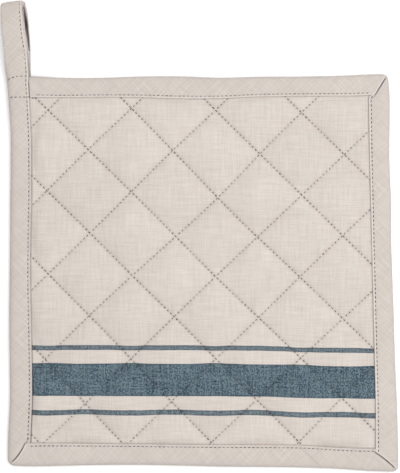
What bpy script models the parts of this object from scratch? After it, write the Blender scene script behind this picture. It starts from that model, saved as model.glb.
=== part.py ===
"""Quilted square pot holder, bound all round, with a hanging loop at its top left corner.

It lies face up on a flat surface: +X to the right, +Y towards the loop, +Z up.
All sizes below are in millimetres; the mesh is written in metres.
"""
import math

import bpy
import numpy as np
from mathutils import Vector
from mathutils.geometry import delaunay_2d_cdt

MM = 0.001

# The four sides, measured from the middle of the part.
# Columns: y, left outer edge, left inner edge, right inner edge, right outer edge.
UPRIGHT_ROWS = np.array((
    (82.1, -99.7, -88.5, 86.9, 97.6),
    (71.8, -98.8, -87.8, 87.1, 98.3),
    (60.0, -98.0, -87.3, 87.3, 98.3),
    (39.3, -97.8, -86.9, 87.7, 98.2),
    (18.7, -98.0, -86.9, 88.2, 99.0),
    (-2.0, -98.1, -87.3, 88.7, 99.1),
    (-22.6, -98.3, -87.4, 89.2, 99.8),
    (-43.2, -98.5, -87.0, 89.7, 100.5),
    (-63.9, -98.3, -86.6, 90.2, 101.1),
    (-84.5, -98.2, -86.5, 90.7, 102.0),
    (-105.2, -99.1, -87.3, 90.8, 102.6),
    (-118.6, -99.3, -87.4, 90.8, 102.8),
))
# Columns: x, top outer edge, top inner edge, bottom inner edge, bottom outer edge.
LEVEL_ROWS = np.array((
    (-98.9, 81.9, 71.3, -106.7, -118.7),
    (-87.0, 82.5, 71.4, -106.7, -119.1),
    (-72.1, 81.9, 71.4, -106.8, -118.8),
    (-51.4, 81.9, 71.7, -107.0, -118.4),
    (-30.8, 82.6, 71.5, -107.2, -118.3),
    (-10.2, 82.7, 70.9, -107.5, -118.7),
    (10.5, 82.0, 71.0, -107.6, -119.2),
    (31.1, 82.5, 71.9, -107.7, -119.4),
    (51.8, 82.6, 72.2, -107.9, -119.7),
    (72.4, 83.0, 72.3, -109.1, -120.4),
    (87.9, 83.7, 72.4, -109.6, -121.5),
    (98.2, 83.9, 72.4, -109.7, -121.8),
))
# Which table and columns each side uses: (table, outer column, inner column, outward sign).
SIDES = {
    "left": (UPRIGHT_ROWS, 1, 2, -1.0),
    "right": (UPRIGHT_ROWS, 4, 3, 1.0),
    "top": (LEVEL_ROWS, 1, 2, 1.0),
    "bottom": (LEVEL_ROWS, 4, 3, -1.0),
}
CORNER_RADIUS = {"top right": 3.0, "bottom right": 2.7, "bottom left": 3.5, "top left": 4.0}

# The binding: cloth folded over the pad's edge, drawn as one section.
# Columns: distance in from the outer edge, height above the surface.
BINDING_WIDTH = 10.8
BINDING_SECTION = np.array((
    (10.8, 4.55),
    (10.4, 5.05),
    (9.4, 4.85),
    (8.2, 5.15),
    (5.0, 5.20),
    (2.4, 4.95),
    (0.7, 4.10),
    (0.0, 2.60),
    (0.7, 1.10),
    (2.4, 0.00),
    (10.8, 0.00),
    (10.8, 1.00),
    (2.6, 1.00),
    (1.3, 1.80),
    (1.3, 3.40),
    (2.6, 4.20),
    (10.8, 4.20),
))
STATION_STEP = 8.5     # distance between two sections along a side
MITRE_REACH = 35.0     # length over which the sections swing round to the mitre
MITRE_GAP = 0.21       # each strip stops this far short of its mitre, along its length
PIECE_GAP = 0.3        # clear space between two pieces

# The pad: heights of its pressed edge and sewn lines, and the rise of the filled diamonds.
PRESSED_TOP = 3.9
PRESSED_UNDERSIDE = 1.3
FACE_RISE = 2.5
BACK_RISE = 1.8        # the back's diamonds are pressed flat where they rest
DIAMOND_FULLNESS = 2.8
BORDER_RISE_WIDTH = 6.0
RIM_INSET = 2.0        # from the binding's outer edge to the pad's rim
RIM_TOP_INSET = 3.0
PAD_CORNER_RADIUS = 6.0
RIM_STEP = 7.5
QUILT_STEPS = 6        # mesh steps from one sewn line to the next

# Sewn lines. Columns: distance of the line from the middle of the part, its tilt.
FALLING_ANGLE = math.radians(-44.9)   # upper left to lower right
FALLING_LINES = np.array((
    (-164.8, 0.000),
    (-134.0, 0.000),
    (-101.7, -0.030),
    (-70.1, -0.022),
    (-39.4, -0.002),
    (-8.4, 0.008),
    (21.6, 0.002),
    (52.3, 0.001),
    (82.7, 0.001),
    (114.2, 0.000),
    (145.1, 0.000),
))
RISING_ANGLE = math.radians(43.8)     # lower left to upper right
RISING_LINES = np.array((
    (-162.2, 0.000),
    (-131.8, 0.000),
    (-101.4, -0.029),
    (-71.6, -0.007),
    (-40.7, -0.008),
    (-9.2, 0.000),
    (21.1, 0.002),
    (51.0, -0.007),
    (81.6, 0.014),
    (110.7, -0.020),
    (142.1, 0.000),
))
# Where a line was sewn a little off. Columns: its number, the number of the line it crosses
# there, how far off.
FALLING_STRAYS = (
    (2, 6.5, -0.9),
    (3, 5.5, 0.6),
    (3, 8.0, 0.6),
    (4, 4.0, 0.4),
    (4, 6.3, 0.7),
    (4, 8.7, 0.5),
    (5, 6.0, -0.8),
    (6, 2.7, 0.5),
    (6, 5.5, -1.1),
    (6, 8.7, 0.4),
    (7, 4.2, -0.4),
    (8, 4.8, -0.4),
)
RISING_STRAYS = (
    (3, 5.0, -0.7),
    (4, 5.8, -0.8),
    (5, 3.0, -0.7),
    (5, 5.8, 1.4),
    (5, 7.7, -0.6),
    (6, 1.8, 0.6),
    (6, 5.2, -0.4),
    (7, 4.8, 0.4),
    (7, 8.0, 0.6),
    (8, 3.2, 0.4),
    (9, 4.0, 0.7),
)
FAMILIES = (
    (FALLING_ANGLE, FALLING_LINES, FALLING_STRAYS),
    (RISING_ANGLE, RISING_LINES, RISING_STRAYS),
)
STRAY_WIDTH = 0.55     # how far a stray fades towards the lines beside it, in lines
STRAY_LENGTH = 1.1     # and along its own line

# The loop: a flat folded strap, followed from its root on the corner, over the top and down
# behind the corner. Columns: y, x of its middle, height of its middle, lean in degrees.
STRAP_WIDTH = 12.0
STRAP_THICKNESS = 1.6
LOOP_ROWS = np.array((
    (82.5, -94.0, 6.3, 3.0),
    (88.0, -94.4, 6.5, 4.0),
    (98.0, -95.0, 7.3, 4.5),
    (108.0, -96.0, 7.7, 5.5),
    (115.0, -96.5, 7.3, 7.0),
    (119.0, -96.7, 6.0, 8.0),
    (120.4, -96.5, 4.2, 8.5),
    (119.0, -95.8, 2.3, 8.0),
    (115.0, -94.8, 1.1, 7.0),
    (108.0, -94.0, 0.8, 5.0),
    (98.0, -93.7, 0.8, 3.0),
    (85.0, -93.6, 0.8, 2.0),
    (70.7, -92.9, 0.8, 1.0),
))
LOOP_SECTIONS = 41
# The strap's section. Columns: share of half its width, share of half its thickness.
STRAP_SECTION = np.array((
    (-1.00, -0.35),
    (-0.96, -0.85),
    (-0.88, -1.00),
    (0.88, -1.00),
    (0.96, -0.85),
    (1.00, -0.35),
    (1.00, 0.35),
    (0.96, 0.85),
    (0.88, 1.00),
    (-0.88, 1.00),
    (-0.96, 0.85),
    (-1.00, 0.35),
))
# The corner rides up over the strap's tail.
CORNER_LIFT = STRAP_THICKNESS + PIECE_GAP
LIFT_FULL_X = -84.5
LIFT_FULL_Y = 69.5
LIFT_FADE = 24.0

CLOTH_COLOURS = {
    # name: linear colour, roughness
    "linen_face": ((0.70, 0.64, 0.58), 0.92),
    "linen_binding": ((0.65, 0.58, 0.53), 0.92),
}


def smooth_rows(t, knots, values):
    """Follow a table's column smoothly: a cubic between rows, its slope taken across each row."""
    if knots[0] > knots[-1]:
        knots = knots[::-1]
        values = values[::-1]
    t = np.clip(t, knots[0], knots[-1])
    slopes = np.gradient(values, knots)
    i = np.clip(np.searchsorted(knots, t, side="right") - 1, 0, len(knots) - 2)
    h = knots[i + 1] - knots[i]
    u = (t - knots[i]) / h
    start = values[i] * (1 + 2 * u) * (1 - u) ** 2 + slopes[i] * h * u * (1 - u) ** 2
    end = values[i + 1] * u * u * (3 - 2 * u) + slopes[i + 1] * h * u * u * (u - 1)
    return start + end


def edge(side, along, line):
    """Position across the part of a side's "outer" or "inner" edge at a distance along it."""
    table, outer, inner, _ = SIDES[side]
    column = outer if line == "outer" else inner
    return smooth_rows(along, table[:, 0], table[:, column])


def corner(name, line):
    """Point where two sides' edges cross."""
    level, upright = name.split()
    x = edge(upright, 0.0, line)
    y = edge(level, 0.0, line)
    for _ in range(4):
        x = edge(upright, y, line)
        y = edge(level, x, line)
    return np.array((x, y))


def corner_inset(distance, radius):
    """How far a rounded corner falls inside the straight edge, at a distance from the corner."""
    run = np.clip(radius - distance, 0.0, radius)
    return radius - np.sqrt(radius ** 2 - run ** 2)


ARC_MIDDLE = 1.0 - math.sqrt(0.5)     # share of the radius at which a corner's arc is halfway


def stations(start, end, start_radius, end_radius, step):
    """Places along a side: close together round its two corners and even between them."""
    way = np.sign(end - start)
    first = [start + way * start_radius * share for share in (ARC_MIDDLE, 0.6)]
    last = [end - way * end_radius * share for share in (0.6, ARC_MIDDLE)]
    a = start + way * start_radius * 1.1
    b = end - way * end_radius * 1.1
    count = max(2, round(abs(b - a) / step))
    return np.array(first + list(np.linspace(a, b, count + 1)) + last)


def side_points(side, along, across):
    """Plan points from distances along and across a side."""
    if side in ("top", "bottom"):
        return np.stack((along, across), axis=-1)
    return np.stack((across, along), axis=-1)


def smoothstep(value):
    """Rise evenly from 0 to 1 with soft ends."""
    value = np.clip(value, 0.0, 1.0)
    return value * value * (3.0 - 2.0 * value)


def lift(x, y):
    """Height by which the corner rides up over the loop's tail."""
    over_x = smoothstep(1.0 - (x - LIFT_FULL_X) / LIFT_FADE)
    over_y = smoothstep(1.0 - (LIFT_FULL_Y - y) / LIFT_FADE)
    return CORNER_LIFT * over_x * over_y


def line_directions(angle):
    """A family's direction along its lines and the direction across them."""
    along = np.array((math.cos(angle), math.sin(angle)))
    across = np.array((-along[1], along[0]))
    if across[0] < 0:
        across = -across
    return along, across


def straight_count(x, y, family):
    """Count of a family's lines as if they were straight, and the distance across less the tilt."""
    angle, lines, _ = FAMILIES[family]
    along, across = line_directions(angle)
    p = x * across[0] + y * across[1]
    t = x * along[0] + y * along[1]
    numbers = np.arange(len(lines))
    rough = np.interp(p, lines[:, 0], numbers)
    tilt = np.interp(rough, numbers, lines[:, 1])
    offset = p - tilt * t
    return np.interp(offset, lines[:, 0], numbers), offset


def stray(strays, own, other):
    """Sideways wander of a line where the other family's count is known."""
    total = 0.0
    for number, crossing, amount in strays:
        beside = (own - number) / STRAY_WIDTH
        along = (other - crossing) / STRAY_LENGTH
        total = total + amount * np.exp(-(beside ** 2) - along ** 2)
    return total


def line_count(x, y, family):
    """Number the sewn lines: whole on a line, halfway between two lines."""
    _, lines, strays = FAMILIES[family]
    own, offset = straight_count(x, y, family)
    other, _ = straight_count(x, y, 1 - family)
    return np.interp(offset - stray(strays, own, other), lines[:, 0], np.arange(len(lines)))


def fullness(x, y):
    """Share of the full rise: nothing on the sewn lines and at the binding, whole in a diamond."""
    rise = 1.0
    for family in range(len(FAMILIES)):
        count = line_count(x, y, family)
        between = 2.0 * np.abs(count - np.round(count))
        rise = rise * (1.0 - (1.0 - between) ** DIAMOND_FULLNESS)
    border = np.clip(border_distance(x, y) / BORDER_RISE_WIDTH, 0.0, 1.0)
    return rise * (1.0 - (1.0 - border) ** DIAMOND_FULLNESS)


def border_distance(x, y):
    """Distance in from the nearest inner edge of the binding."""
    left = x - edge("left", y, "inner")
    right = edge("right", y, "inner") - x
    top = edge("top", x, "inner") - y
    bottom = y - edge("bottom", x, "inner")
    return np.minimum(np.minimum(left, right), np.minimum(top, bottom)) - PIECE_GAP


def ring(line, inset, radius):
    """Closed loop of plan points that runs clockwise round the part at an inset from an edge."""
    points = []
    order = (
        ("top", "top left", "top right", 0),
        ("right", "top right", "bottom right", 1),
        ("bottom", "bottom right", "bottom left", 0),
        ("left", "bottom left", "top left", 1),
    )
    for side, start_name, end_name, axis in order:
        sign = SIDES[side][3]
        ends = []
        for name in (start_name, end_name):
            level, upright = name.split()
            inward = -np.array((SIDES[upright][3], SIDES[level][3]))
            ends.append((corner(name, line) + inward * inset)[axis])
        along = stations(ends[0], ends[1], radius, radius, RIM_STEP)[:-1]
        fall = corner_inset(abs(along - ends[0]), radius) + corner_inset(abs(along - ends[1]), radius)
        across = edge(side, along, line) - sign * (inset + fall)
        points.append(side_points(side, along, across))
    return np.concatenate(points)


def quilt_nodes():
    """Plan points of an even net laid between the sewn lines, kept well inside the binding."""
    steps = np.arange(0, (len(FALLING_LINES) - 1) * QUILT_STEPS + 1) / QUILT_STEPS
    counts = [grid.ravel() for grid in np.meshgrid(steps, steps)]
    numbers = np.arange(len(FALLING_LINES))
    directions = [line_directions(angle) for angle, _, _ in FAMILIES]
    axes = np.linalg.inv(np.array([across for _, across in directions]))
    places = []
    tilts = []
    for (_, lines, strays), own, other in zip(FAMILIES, counts, counts[::-1]):
        places.append(np.interp(own, numbers, lines[:, 0]) + stray(strays, own, other))
        tilts.append(np.interp(own, numbers, lines[:, 1]))
    points = np.stack(places, axis=1) @ axes.T
    for _ in range(2):
        moved = []
        for place, tilt, (along, _) in zip(places, tilts, directions):
            moved.append(place + tilt * (points @ along))
        points = np.stack(moved, axis=1) @ axes.T
    inside = border_distance(points[:, 0], points[:, 1]) > 0.4 * RIM_STEP / 2
    return points[inside]


def add_piece(name, points, faces, colour):
    """Make one solid from points in millimetres and its faces."""
    mesh = bpy.data.meshes.new(name)
    mesh.from_pydata((np.asarray(points) * MM).tolist(), [], faces)
    mesh.update()
    piece = bpy.data.objects.new(name, mesh)
    bpy.context.scene.collection.objects.link(piece)
    base_colour, roughness = CLOTH_COLOURS[colour]
    material = bpy.data.materials.get(colour)
    if material is None:
        material = bpy.data.materials.new(colour)
        material.use_nodes = True
        shader = material.node_tree.nodes["Principled BSDF"]
        shader.inputs["Base Color"].default_value = (*base_colour, 1.0)
        shader.inputs["Roughness"].default_value = roughness
    mesh.materials.append(material)
    mesh.shade_smooth()
    mesh.set_sharp_from_angle(angle=math.radians(50.0))
    return piece


def swept_faces(section_count, point_count):
    """Faces of a closed section swept along its stations, with both ends shut."""
    faces = []
    for i in range(section_count - 1):
        for k in range(point_count):
            n = (k + 1) % point_count
            a = i * point_count
            b = a + point_count
            faces.append((a + k, a + n, b + n, b + k))
    last = (section_count - 1) * point_count
    faces.append(tuple(range(point_count))[::-1])
    faces.append(tuple(range(last, last + point_count)))
    return faces


def make_pad():
    """The filled and quilted square, its pressed edge reaching into the binding."""
    inner = ring("inner", PIECE_GAP, 1.0)
    border = ring("outer", RIM_TOP_INSET, PAD_CORNER_RADIUS)
    rim = ring("outer", RIM_INSET, PAD_CORNER_RADIUS)
    nodes = quilt_nodes()
    flat = np.concatenate((border, inner, nodes))
    edges = []
    for first, count in ((0, len(border)), (len(border), len(inner))):
        edges += [(first + i, first + (i + 1) % count) for i in range(count)]
    result = delaunay_2d_cdt([Vector(p) for p in flat.tolist()], edges, [], 1, 1e-6)
    plan = np.array([tuple(v) for v in result[0]])
    x = plan[:, 0]
    y = plan[:, 1]
    rise = fullness(x, y) * (border_distance(x, y) > 0.01)
    raised = lift(x, y)
    top = np.stack((x, y, PRESSED_TOP + FACE_RISE * rise + raised), axis=1)
    underside_z = np.maximum(PRESSED_UNDERSIDE - BACK_RISE * rise, 0.0) + raised
    underside = np.stack((x, y, underside_z), axis=1)
    middle = (PRESSED_TOP + PRESSED_UNDERSIDE) / 2
    rim_z = middle + lift(rim[:, 0], rim[:, 1])
    rim_points = np.stack((rim[:, 0], rim[:, 1], rim_z), axis=1)
    points = np.concatenate((top, underside, rim_points))
    shift = len(plan)
    faces = []
    for face in result[2]:
        a, b, c = (plan[i] for i in face)
        turn = (b[0] - a[0]) * (c[1] - a[1]) - (b[1] - a[1]) * (c[0] - a[0])
        upward = list(face) if turn > 0 else list(face)[::-1]
        faces.append(upward)
        faces.append([i + shift for i in upward[::-1]])
    for i in range(len(border)):
        n = (i + 1) % len(border)
        faces.append((i, n, 2 * shift + n, 2 * shift + i))
        faces.append((2 * shift + i, 2 * shift + n, shift + n, shift + i))
    return add_piece("quilted_pad", points, faces, "linen_face")


def make_binding(name, side, start, end):
    """One side of the binding; each end is a corner's name or a plain cut (outer, inner)."""
    axis = 0 if side in ("top", "bottom") else 1
    sign = SIDES[side][3]
    outer_ends = []
    inner_ends = []
    radii = []
    for place in (start, end):
        if isinstance(place, str):
            outer_ends.append(corner(place, "outer")[axis])
            inner_ends.append(corner(place, "inner")[axis])
            radii.append(CORNER_RADIUS[place])
        else:
            outer_ends.append(place[0])
            inner_ends.append(place[1])
            radii.append(0.0)
    along = stations(*outer_ends, *radii, STATION_STEP)
    if radii[1] == 0.0:
        along = along[:-2]
    if radii[0] == 0.0:
        along = along[2:]
    fall = np.zeros(len(along))
    inner_along = along.copy()
    reach = np.zeros(len(along))
    way = np.sign(outer_ends[1] - outer_ends[0])
    for outer_end, inner_end, radius, inward in zip(outer_ends, inner_ends, radii, (way, -way)):
        distance = abs(along - outer_end)
        fall += corner_inset(distance, radius)
        turn = np.clip(1.0 - (distance - ARC_MIDDLE * radius) / MITRE_REACH, 0.0, 1.0) ** 2
        inner_along += (inner_end - (outer_end + inward * ARC_MIDDLE * radius)) * turn
        if radius > 0.0:
            reach += inward * MITRE_GAP * turn
    outer = side_points(side, along + reach, edge(side, along, "outer") - sign * fall)
    inner = side_points(side, inner_along + reach, edge(side, inner_along, "inner"))
    share = BINDING_SECTION[:, 0] / BINDING_WIDTH
    plan = outer[:, None, :] + (inner - outer)[:, None, :] * share[None, :, None]
    z = BINDING_SECTION[:, 1][None, :] + lift(plan[..., 0], plan[..., 1])
    points = np.concatenate((plan, z[..., None]), axis=2).reshape(-1, 3)
    faces = swept_faces(len(along), len(BINDING_SECTION))
    piece = add_piece(name, points, faces, "linen_binding")
    face_outward(piece)
    return piece


def face_outward(piece):
    """Turn the faces so that the solid's volume is positive."""
    mesh = piece.data
    volume = 0.0
    for face in mesh.polygons:
        corners = [mesh.vertices[i].co for i in face.vertices]
        for i in range(1, len(corners) - 1):
            volume += corners[0].dot(corners[i].cross(corners[i + 1]))
    if volume < 0:
        mesh.flip_normals()


def make_loop():
    """The strap that stands out above the corner, turns over and is tacked down behind it."""
    steps = np.arange(len(LOOP_ROWS), dtype=float)
    t = np.linspace(0.0, steps[-1], LOOP_SECTIONS)
    y, x, z, lean = (smooth_rows(t, steps, LOOP_ROWS[:, i]) for i in range(4))
    z = np.maximum(z, STRAP_THICKNESS / 2)
    path = np.stack((x, y, z), axis=1)
    tangent = np.gradient(path, axis=0)
    tangent[0] = (0.0, 1.0, 0.0)
    tangent[-1] = (0.0, -1.0, 0.0)
    lean = np.radians(lean)
    side = np.stack((np.cos(lean), np.sin(lean), np.zeros(len(t))), axis=1)
    normal = np.cross(side, tangent)
    normal /= np.linalg.norm(normal, axis=1, keepdims=True)
    half = np.array((STRAP_WIDTH / 2, STRAP_THICKNESS / 2))
    section = STRAP_SECTION * half
    points = (
        path[:, None, :]
        + side[:, None, :] * section[None, :, 0, None]
        + normal[:, None, :] * section[None, :, 1, None]
    )
    faces = swept_faces(len(t), len(STRAP_SECTION))
    piece = add_piece("hanging_loop", points.reshape(-1, 3), faces, "linen_binding")
    face_outward(piece)
    return piece


def centre_pieces(pieces):
    """Move the pieces so that the part's box stands on the origin."""
    corners = []
    for piece in pieces:
        corners += [vertex.co for vertex in piece.data.vertices]
    places = np.array(corners)
    low = places.min(axis=0)
    high = places.max(axis=0)
    middle = Vector(((low[0] + high[0]) / 2, (low[1] + high[1]) / 2, low[2]))
    for piece in pieces:
        for vertex in piece.data.vertices:
            vertex.co -= middle
        piece.data.update()


for old in list(bpy.data.objects):
    bpy.data.objects.remove(old, do_unlink=True)

# The left strip laps the top one: the top strip stops against it, and its own end is cut level.
CUT_HEIGHTS = (corner("top left", "outer")[1], corner("top left", "inner")[1])
TOP_CUT = [edge("left", height, "inner") + PIECE_GAP for height in CUT_HEIGHTS]
LEFT_CUT = (CUT_HEIGHTS[0], CUT_HEIGHTS[0])
all_pieces = [
    make_pad(),
    make_binding("binding_top", "top", TOP_CUT, "top right"),
    make_binding("binding_right", "right", "top right", "bottom right"),
    make_binding("binding_bottom", "bottom", "bottom right", "bottom left"),
    make_binding("binding_left", "left", "bottom left", LEFT_CUT),
    make_loop(),
]
centre_pieces(all_pieces)
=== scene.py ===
# %% [markdown]
# # A quilted linen pot holder
# The object is a square of filled linen, sewn through in diamonds and bound all round with a
# folded strip of the same cloth. The strip of the left side runs on past the corner as a loop.
# The solids give the true shape. This lesson puts real cloth on them: a weave, yarn-dyed
# stripes, a turned edge, and every stitch as a short piece of thread.

# %% Load the frame
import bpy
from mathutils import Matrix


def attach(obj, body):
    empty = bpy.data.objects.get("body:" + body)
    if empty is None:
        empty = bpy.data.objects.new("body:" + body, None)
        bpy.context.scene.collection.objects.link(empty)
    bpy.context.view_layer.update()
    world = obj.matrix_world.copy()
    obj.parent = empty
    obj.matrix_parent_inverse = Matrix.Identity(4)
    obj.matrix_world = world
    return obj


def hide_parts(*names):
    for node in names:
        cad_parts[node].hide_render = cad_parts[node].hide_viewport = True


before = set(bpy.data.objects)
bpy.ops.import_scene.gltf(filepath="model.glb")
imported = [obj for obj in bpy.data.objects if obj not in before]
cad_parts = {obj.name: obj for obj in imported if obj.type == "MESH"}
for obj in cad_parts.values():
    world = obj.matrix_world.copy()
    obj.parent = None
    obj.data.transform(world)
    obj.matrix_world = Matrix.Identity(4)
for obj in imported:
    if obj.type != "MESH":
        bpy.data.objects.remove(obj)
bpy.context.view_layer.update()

# %% Tools
import math

import bpy
import numpy as np

MM = 0.001
MIDDLE = np.array((0.0695, 0.0856, 0.0))  # the part's own middle in the tables below, mm
rng = np.random.default_rng(7)

print("middle of the part:", MIDDLE, "mm")

# %% [markdown]
# ## The outline
# A real pot holder is never square: its sides wander by a millimetre or two, and so does the
# width of its binding. Two tables hold those edges, and a cubic runs smoothly between the rows.
# They are the same tables as the solids are made from, so each cloth lies on its own solid.

# %% Tables of the edges
# Columns: y, left outer edge, left inner edge, right inner edge, right outer edge, mm.
UPRIGHT_ROWS = np.array((
    (82.1, -99.7, -88.5, 86.9, 97.6),
    (71.8, -98.8, -87.8, 87.1, 98.3),
    (60.0, -98.0, -87.3, 87.3, 98.3),
    (39.3, -97.8, -86.9, 87.7, 98.2),
    (18.7, -98.0, -86.9, 88.2, 99.0),
    (-2.0, -98.1, -87.3, 88.7, 99.1),
    (-22.6, -98.3, -87.4, 89.2, 99.8),
    (-43.2, -98.5, -87.0, 89.7, 100.5),
    (-63.9, -98.3, -86.6, 90.2, 101.1),
    (-84.5, -98.2, -86.5, 90.7, 102.0),
    (-105.2, -99.1, -87.3, 90.8, 102.6),
    (-118.6, -99.3, -87.4, 90.8, 102.8),
))
# Columns: x, top outer edge, top inner edge, bottom inner edge, bottom outer edge, mm.
LEVEL_ROWS = np.array((
    (-98.9, 81.9, 71.3, -106.7, -118.7),
    (-87.0, 82.5, 71.4, -106.7, -119.1),
    (-72.1, 81.9, 71.4, -106.8, -118.8),
    (-51.4, 81.9, 71.7, -107.0, -118.4),
    (-30.8, 82.6, 71.5, -107.2, -118.3),
    (-10.2, 82.7, 70.9, -107.5, -118.7),
    (10.5, 82.0, 71.0, -107.6, -119.2),
    (31.1, 82.5, 71.9, -107.7, -119.4),
    (51.8, 82.6, 72.2, -107.9, -119.7),
    (72.4, 83.0, 72.3, -109.1, -120.4),
    (87.9, 83.7, 72.4, -109.6, -121.5),
    (98.2, 83.9, 72.4, -109.7, -121.8),
))
# Which table and columns each side uses: (table, outer column, inner column, outward sign).
SIDES = {
    "left": (UPRIGHT_ROWS, 1, 2, -1.0),
    "right": (UPRIGHT_ROWS, 4, 3, 1.0),
    "top": (LEVEL_ROWS, 1, 2, 1.0),
    "bottom": (LEVEL_ROWS, 4, 3, -1.0),
}


print("rows of the tables:", len(UPRIGHT_ROWS), "and", len(LEVEL_ROWS))

# %% Reading a table
def smooth_rows(t, knots, values):
    """Follow a table's column: between two rows, a cubic whose slope is taken across each row."""
    if knots[0] > knots[-1]:
        knots = knots[::-1]
        values = values[::-1]
    t = np.clip(t, knots[0], knots[-1])
    slopes = np.gradient(values, knots)
    i = np.clip(np.searchsorted(knots, t, side="right") - 1, 0, len(knots) - 2)
    h = knots[i + 1] - knots[i]
    u = (t - knots[i]) / h
    start = values[i] * (1 + 2 * u) * (1 - u) ** 2 + slopes[i] * h * u * (1 - u) ** 2
    end = values[i + 1] * u * u * (3 - 2 * u) + slopes[i + 1] * h * u * u * (u - 1)
    return start + end


def edge(side, along, line):
    """Position across the part of a side's "outer" or "inner" edge at a distance along it."""
    table, outer, inner, _ = SIDES[side]
    return smooth_rows(along, table[:, 0], table[:, outer if line == "outer" else inner])


print("width half way up:", round(float(edge("right", 0.0, "outer") - edge("left", 0.0, "outer")), 1), "mm")

# %% Corners and soft steps
CORNER_ROUNDS = 4


def corner(name, line):
    """Point where two sides' edges cross, found by going from one edge to the other."""
    level, upright = name.split()
    x = edge(upright, 0.0, line)
    y = edge(level, 0.0, line)
    for _ in range(CORNER_ROUNDS):
        x = edge(upright, y, line)
        y = edge(level, x, line)
    return np.array((x, y))


def ramp(value, start, end):
    """Rise with soft ends from 0 at start to 1 at end: 3 v squared less 2 v cubed, v the way gone."""
    v = np.clip((value - start) / (end - start), 0.0, 1.0)
    return v * v * (3.0 - 2.0 * v)


print("corners:", {n: corner(n, "outer").round(1) for n in ("top left", "bottom right")})

# %% [markdown]
# ## The sewn lines
# The quilting is two families of straight seams, one falling and one rising, about 31 mm apart.
# Each point of the cloth gets a count in each family: a whole number on a seam and a half
# between two. The counts make the pillow shape here, and later the creases, with their painted
# shade, in the material.

# %% Tables of the quilting lines
# Columns: distance of the line from the middle of the part in mm, its tilt.
FALLING_ANGLE = math.radians(-44.9)  # upper left to lower right
FALLING_LINES = np.array((
    (-164.8, 0.000), (-134.0, 0.000), (-101.7, -0.030), (-70.1, -0.022),
    (-39.4, -0.002), (-8.4, 0.008), (21.6, 0.002), (52.3, 0.001),
    (82.7, 0.001), (114.2, 0.000), (145.1, 0.000),
))
RISING_ANGLE = math.radians(43.8)  # lower left to upper right
RISING_LINES = np.array((
    (-162.2, 0.000), (-131.8, 0.000), (-101.4, -0.029), (-71.6, -0.007),
    (-40.7, -0.008), (-9.2, 0.000), (21.1, 0.002), (51.0, -0.007),
    (81.6, 0.014), (110.7, -0.020), (142.1, 0.000),
))
# Where a line was sewn a little off. Columns: its number, the number of the line that it crosses
# there, how far off, mm.
FALLING_STRAYS = (
    (2, 6.5, -0.9), (3, 5.5, 0.6), (3, 8.0, 0.6), (4, 4.0, 0.4), (4, 6.3, 0.7), (4, 8.7, 0.5),
    (5, 6.0, -0.8), (6, 2.7, 0.5), (6, 5.5, -1.1), (6, 8.7, 0.4), (7, 4.2, -0.4), (8, 4.8, -0.4),
)
RISING_STRAYS = (
    (3, 5.0, -0.7), (4, 5.8, -0.8), (5, 3.0, -0.7), (5, 5.8, 1.4), (5, 7.7, -0.6), (6, 1.8, 0.6),
    (6, 5.2, -0.4), (7, 4.8, 0.4), (7, 8.0, 0.6), (8, 3.2, 0.4), (9, 4.0, 0.7),
)
FAMILIES = (
    (FALLING_ANGLE, FALLING_LINES, FALLING_STRAYS),
    (RISING_ANGLE, RISING_LINES, RISING_STRAYS),
)
STRAY_WIDTH = 0.55  # how far a stray reaches sideways, in lines
STRAY_LENGTH = 1.1  # and along its own line, in crossings
SEAM_SPACING = 31.0  # from one line to the next, on average, mm


print("lines:", len(FALLING_LINES), "falling and", len(RISING_LINES), "rising")

# %% Counting the lines
def line_directions(angle):
    """A family's direction along its lines and the direction across them."""
    along = np.array((math.cos(angle), math.sin(angle)))
    across = np.array((-along[1], along[0]))
    return along, across if across[0] > 0 else -across


def straight_count(x, y, family):
    """A family's count as if its lines were straight, the distance across less tilt, and that along."""
    angle, lines, _ = FAMILIES[family]
    along, across = line_directions(angle)
    p = x * across[0] + y * across[1]
    t = x * along[0] + y * along[1]
    numbers = np.arange(len(lines))
    tilt = np.interp(np.interp(p, lines[:, 0], numbers), numbers, lines[:, 1])
    offset = p - tilt * t
    return np.interp(offset, lines[:, 0], numbers), offset, t


def stray(strays, own, other):
    """Sideways wander of a line: a sum of bells, each fading along the line and to both sides."""
    total = 0.0
    for number, crossing, amount in strays:
        sideways = (own - number) / STRAY_WIDTH
        lengthways = (other - crossing) / STRAY_LENGTH
        total = total + amount * np.exp(-sideways ** 2 - lengthways ** 2)
    return total


def line_count(x, y, family):
    """Count the seams: the distance across, less tilt and stray, read off the table; and that along."""
    _, lines, strays = FAMILIES[family]
    own, offset, t = straight_count(x, y, family)
    other, _, _ = straight_count(x, y, 1 - family)
    return np.interp(offset - stray(strays, own, other), lines[:, 0], np.arange(len(lines))), t


print("counts in the middle:", [round(float(line_count(0.0, 0.0, k)[0]), 2) for k in range(2)])

# %% The lifted corner
# The corner rides up over the loop's tail, in full left of one line and above another, mm.
CORNER_LIFT = 1.9
LIFT_FULL_X = -84.5
LIFT_FULL_Y = 69.5
LIFT_FADE = 24.0


def lift(x, y):
    """Height by which the corner rides up: the product of a soft ramp in x and one in y."""
    over_x = ramp(x, LIFT_FULL_X + LIFT_FADE, LIFT_FULL_X)
    over_y = ramp(y, LIFT_FULL_Y - LIFT_FADE, LIFT_FULL_Y)
    return CORNER_LIFT * over_x * over_y


print("the corner rides up by", round(float(lift(-95.0, 80.0)), 2), "mm")

# %% The border of the pad
LIP_LIFT = 0.42  # how much the cloth stands up against the binding, mm
LIP_LIFT_WIDTH = 1.5


def side_distances(x, y):
    """Distances in from the binding's inner edge: left, right, top, bottom."""
    left = x - edge("left", y, "inner")
    right = edge("right", y, "inner") - x
    top = edge("top", x, "inner") - y
    bottom = y - edge("bottom", x, "inner")
    return np.array((left, right, top, bottom))


def border_distance(x, y):
    """Distance in from the nearest inner edge of the binding."""
    return side_distances(x, y).min(axis=0)


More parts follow.
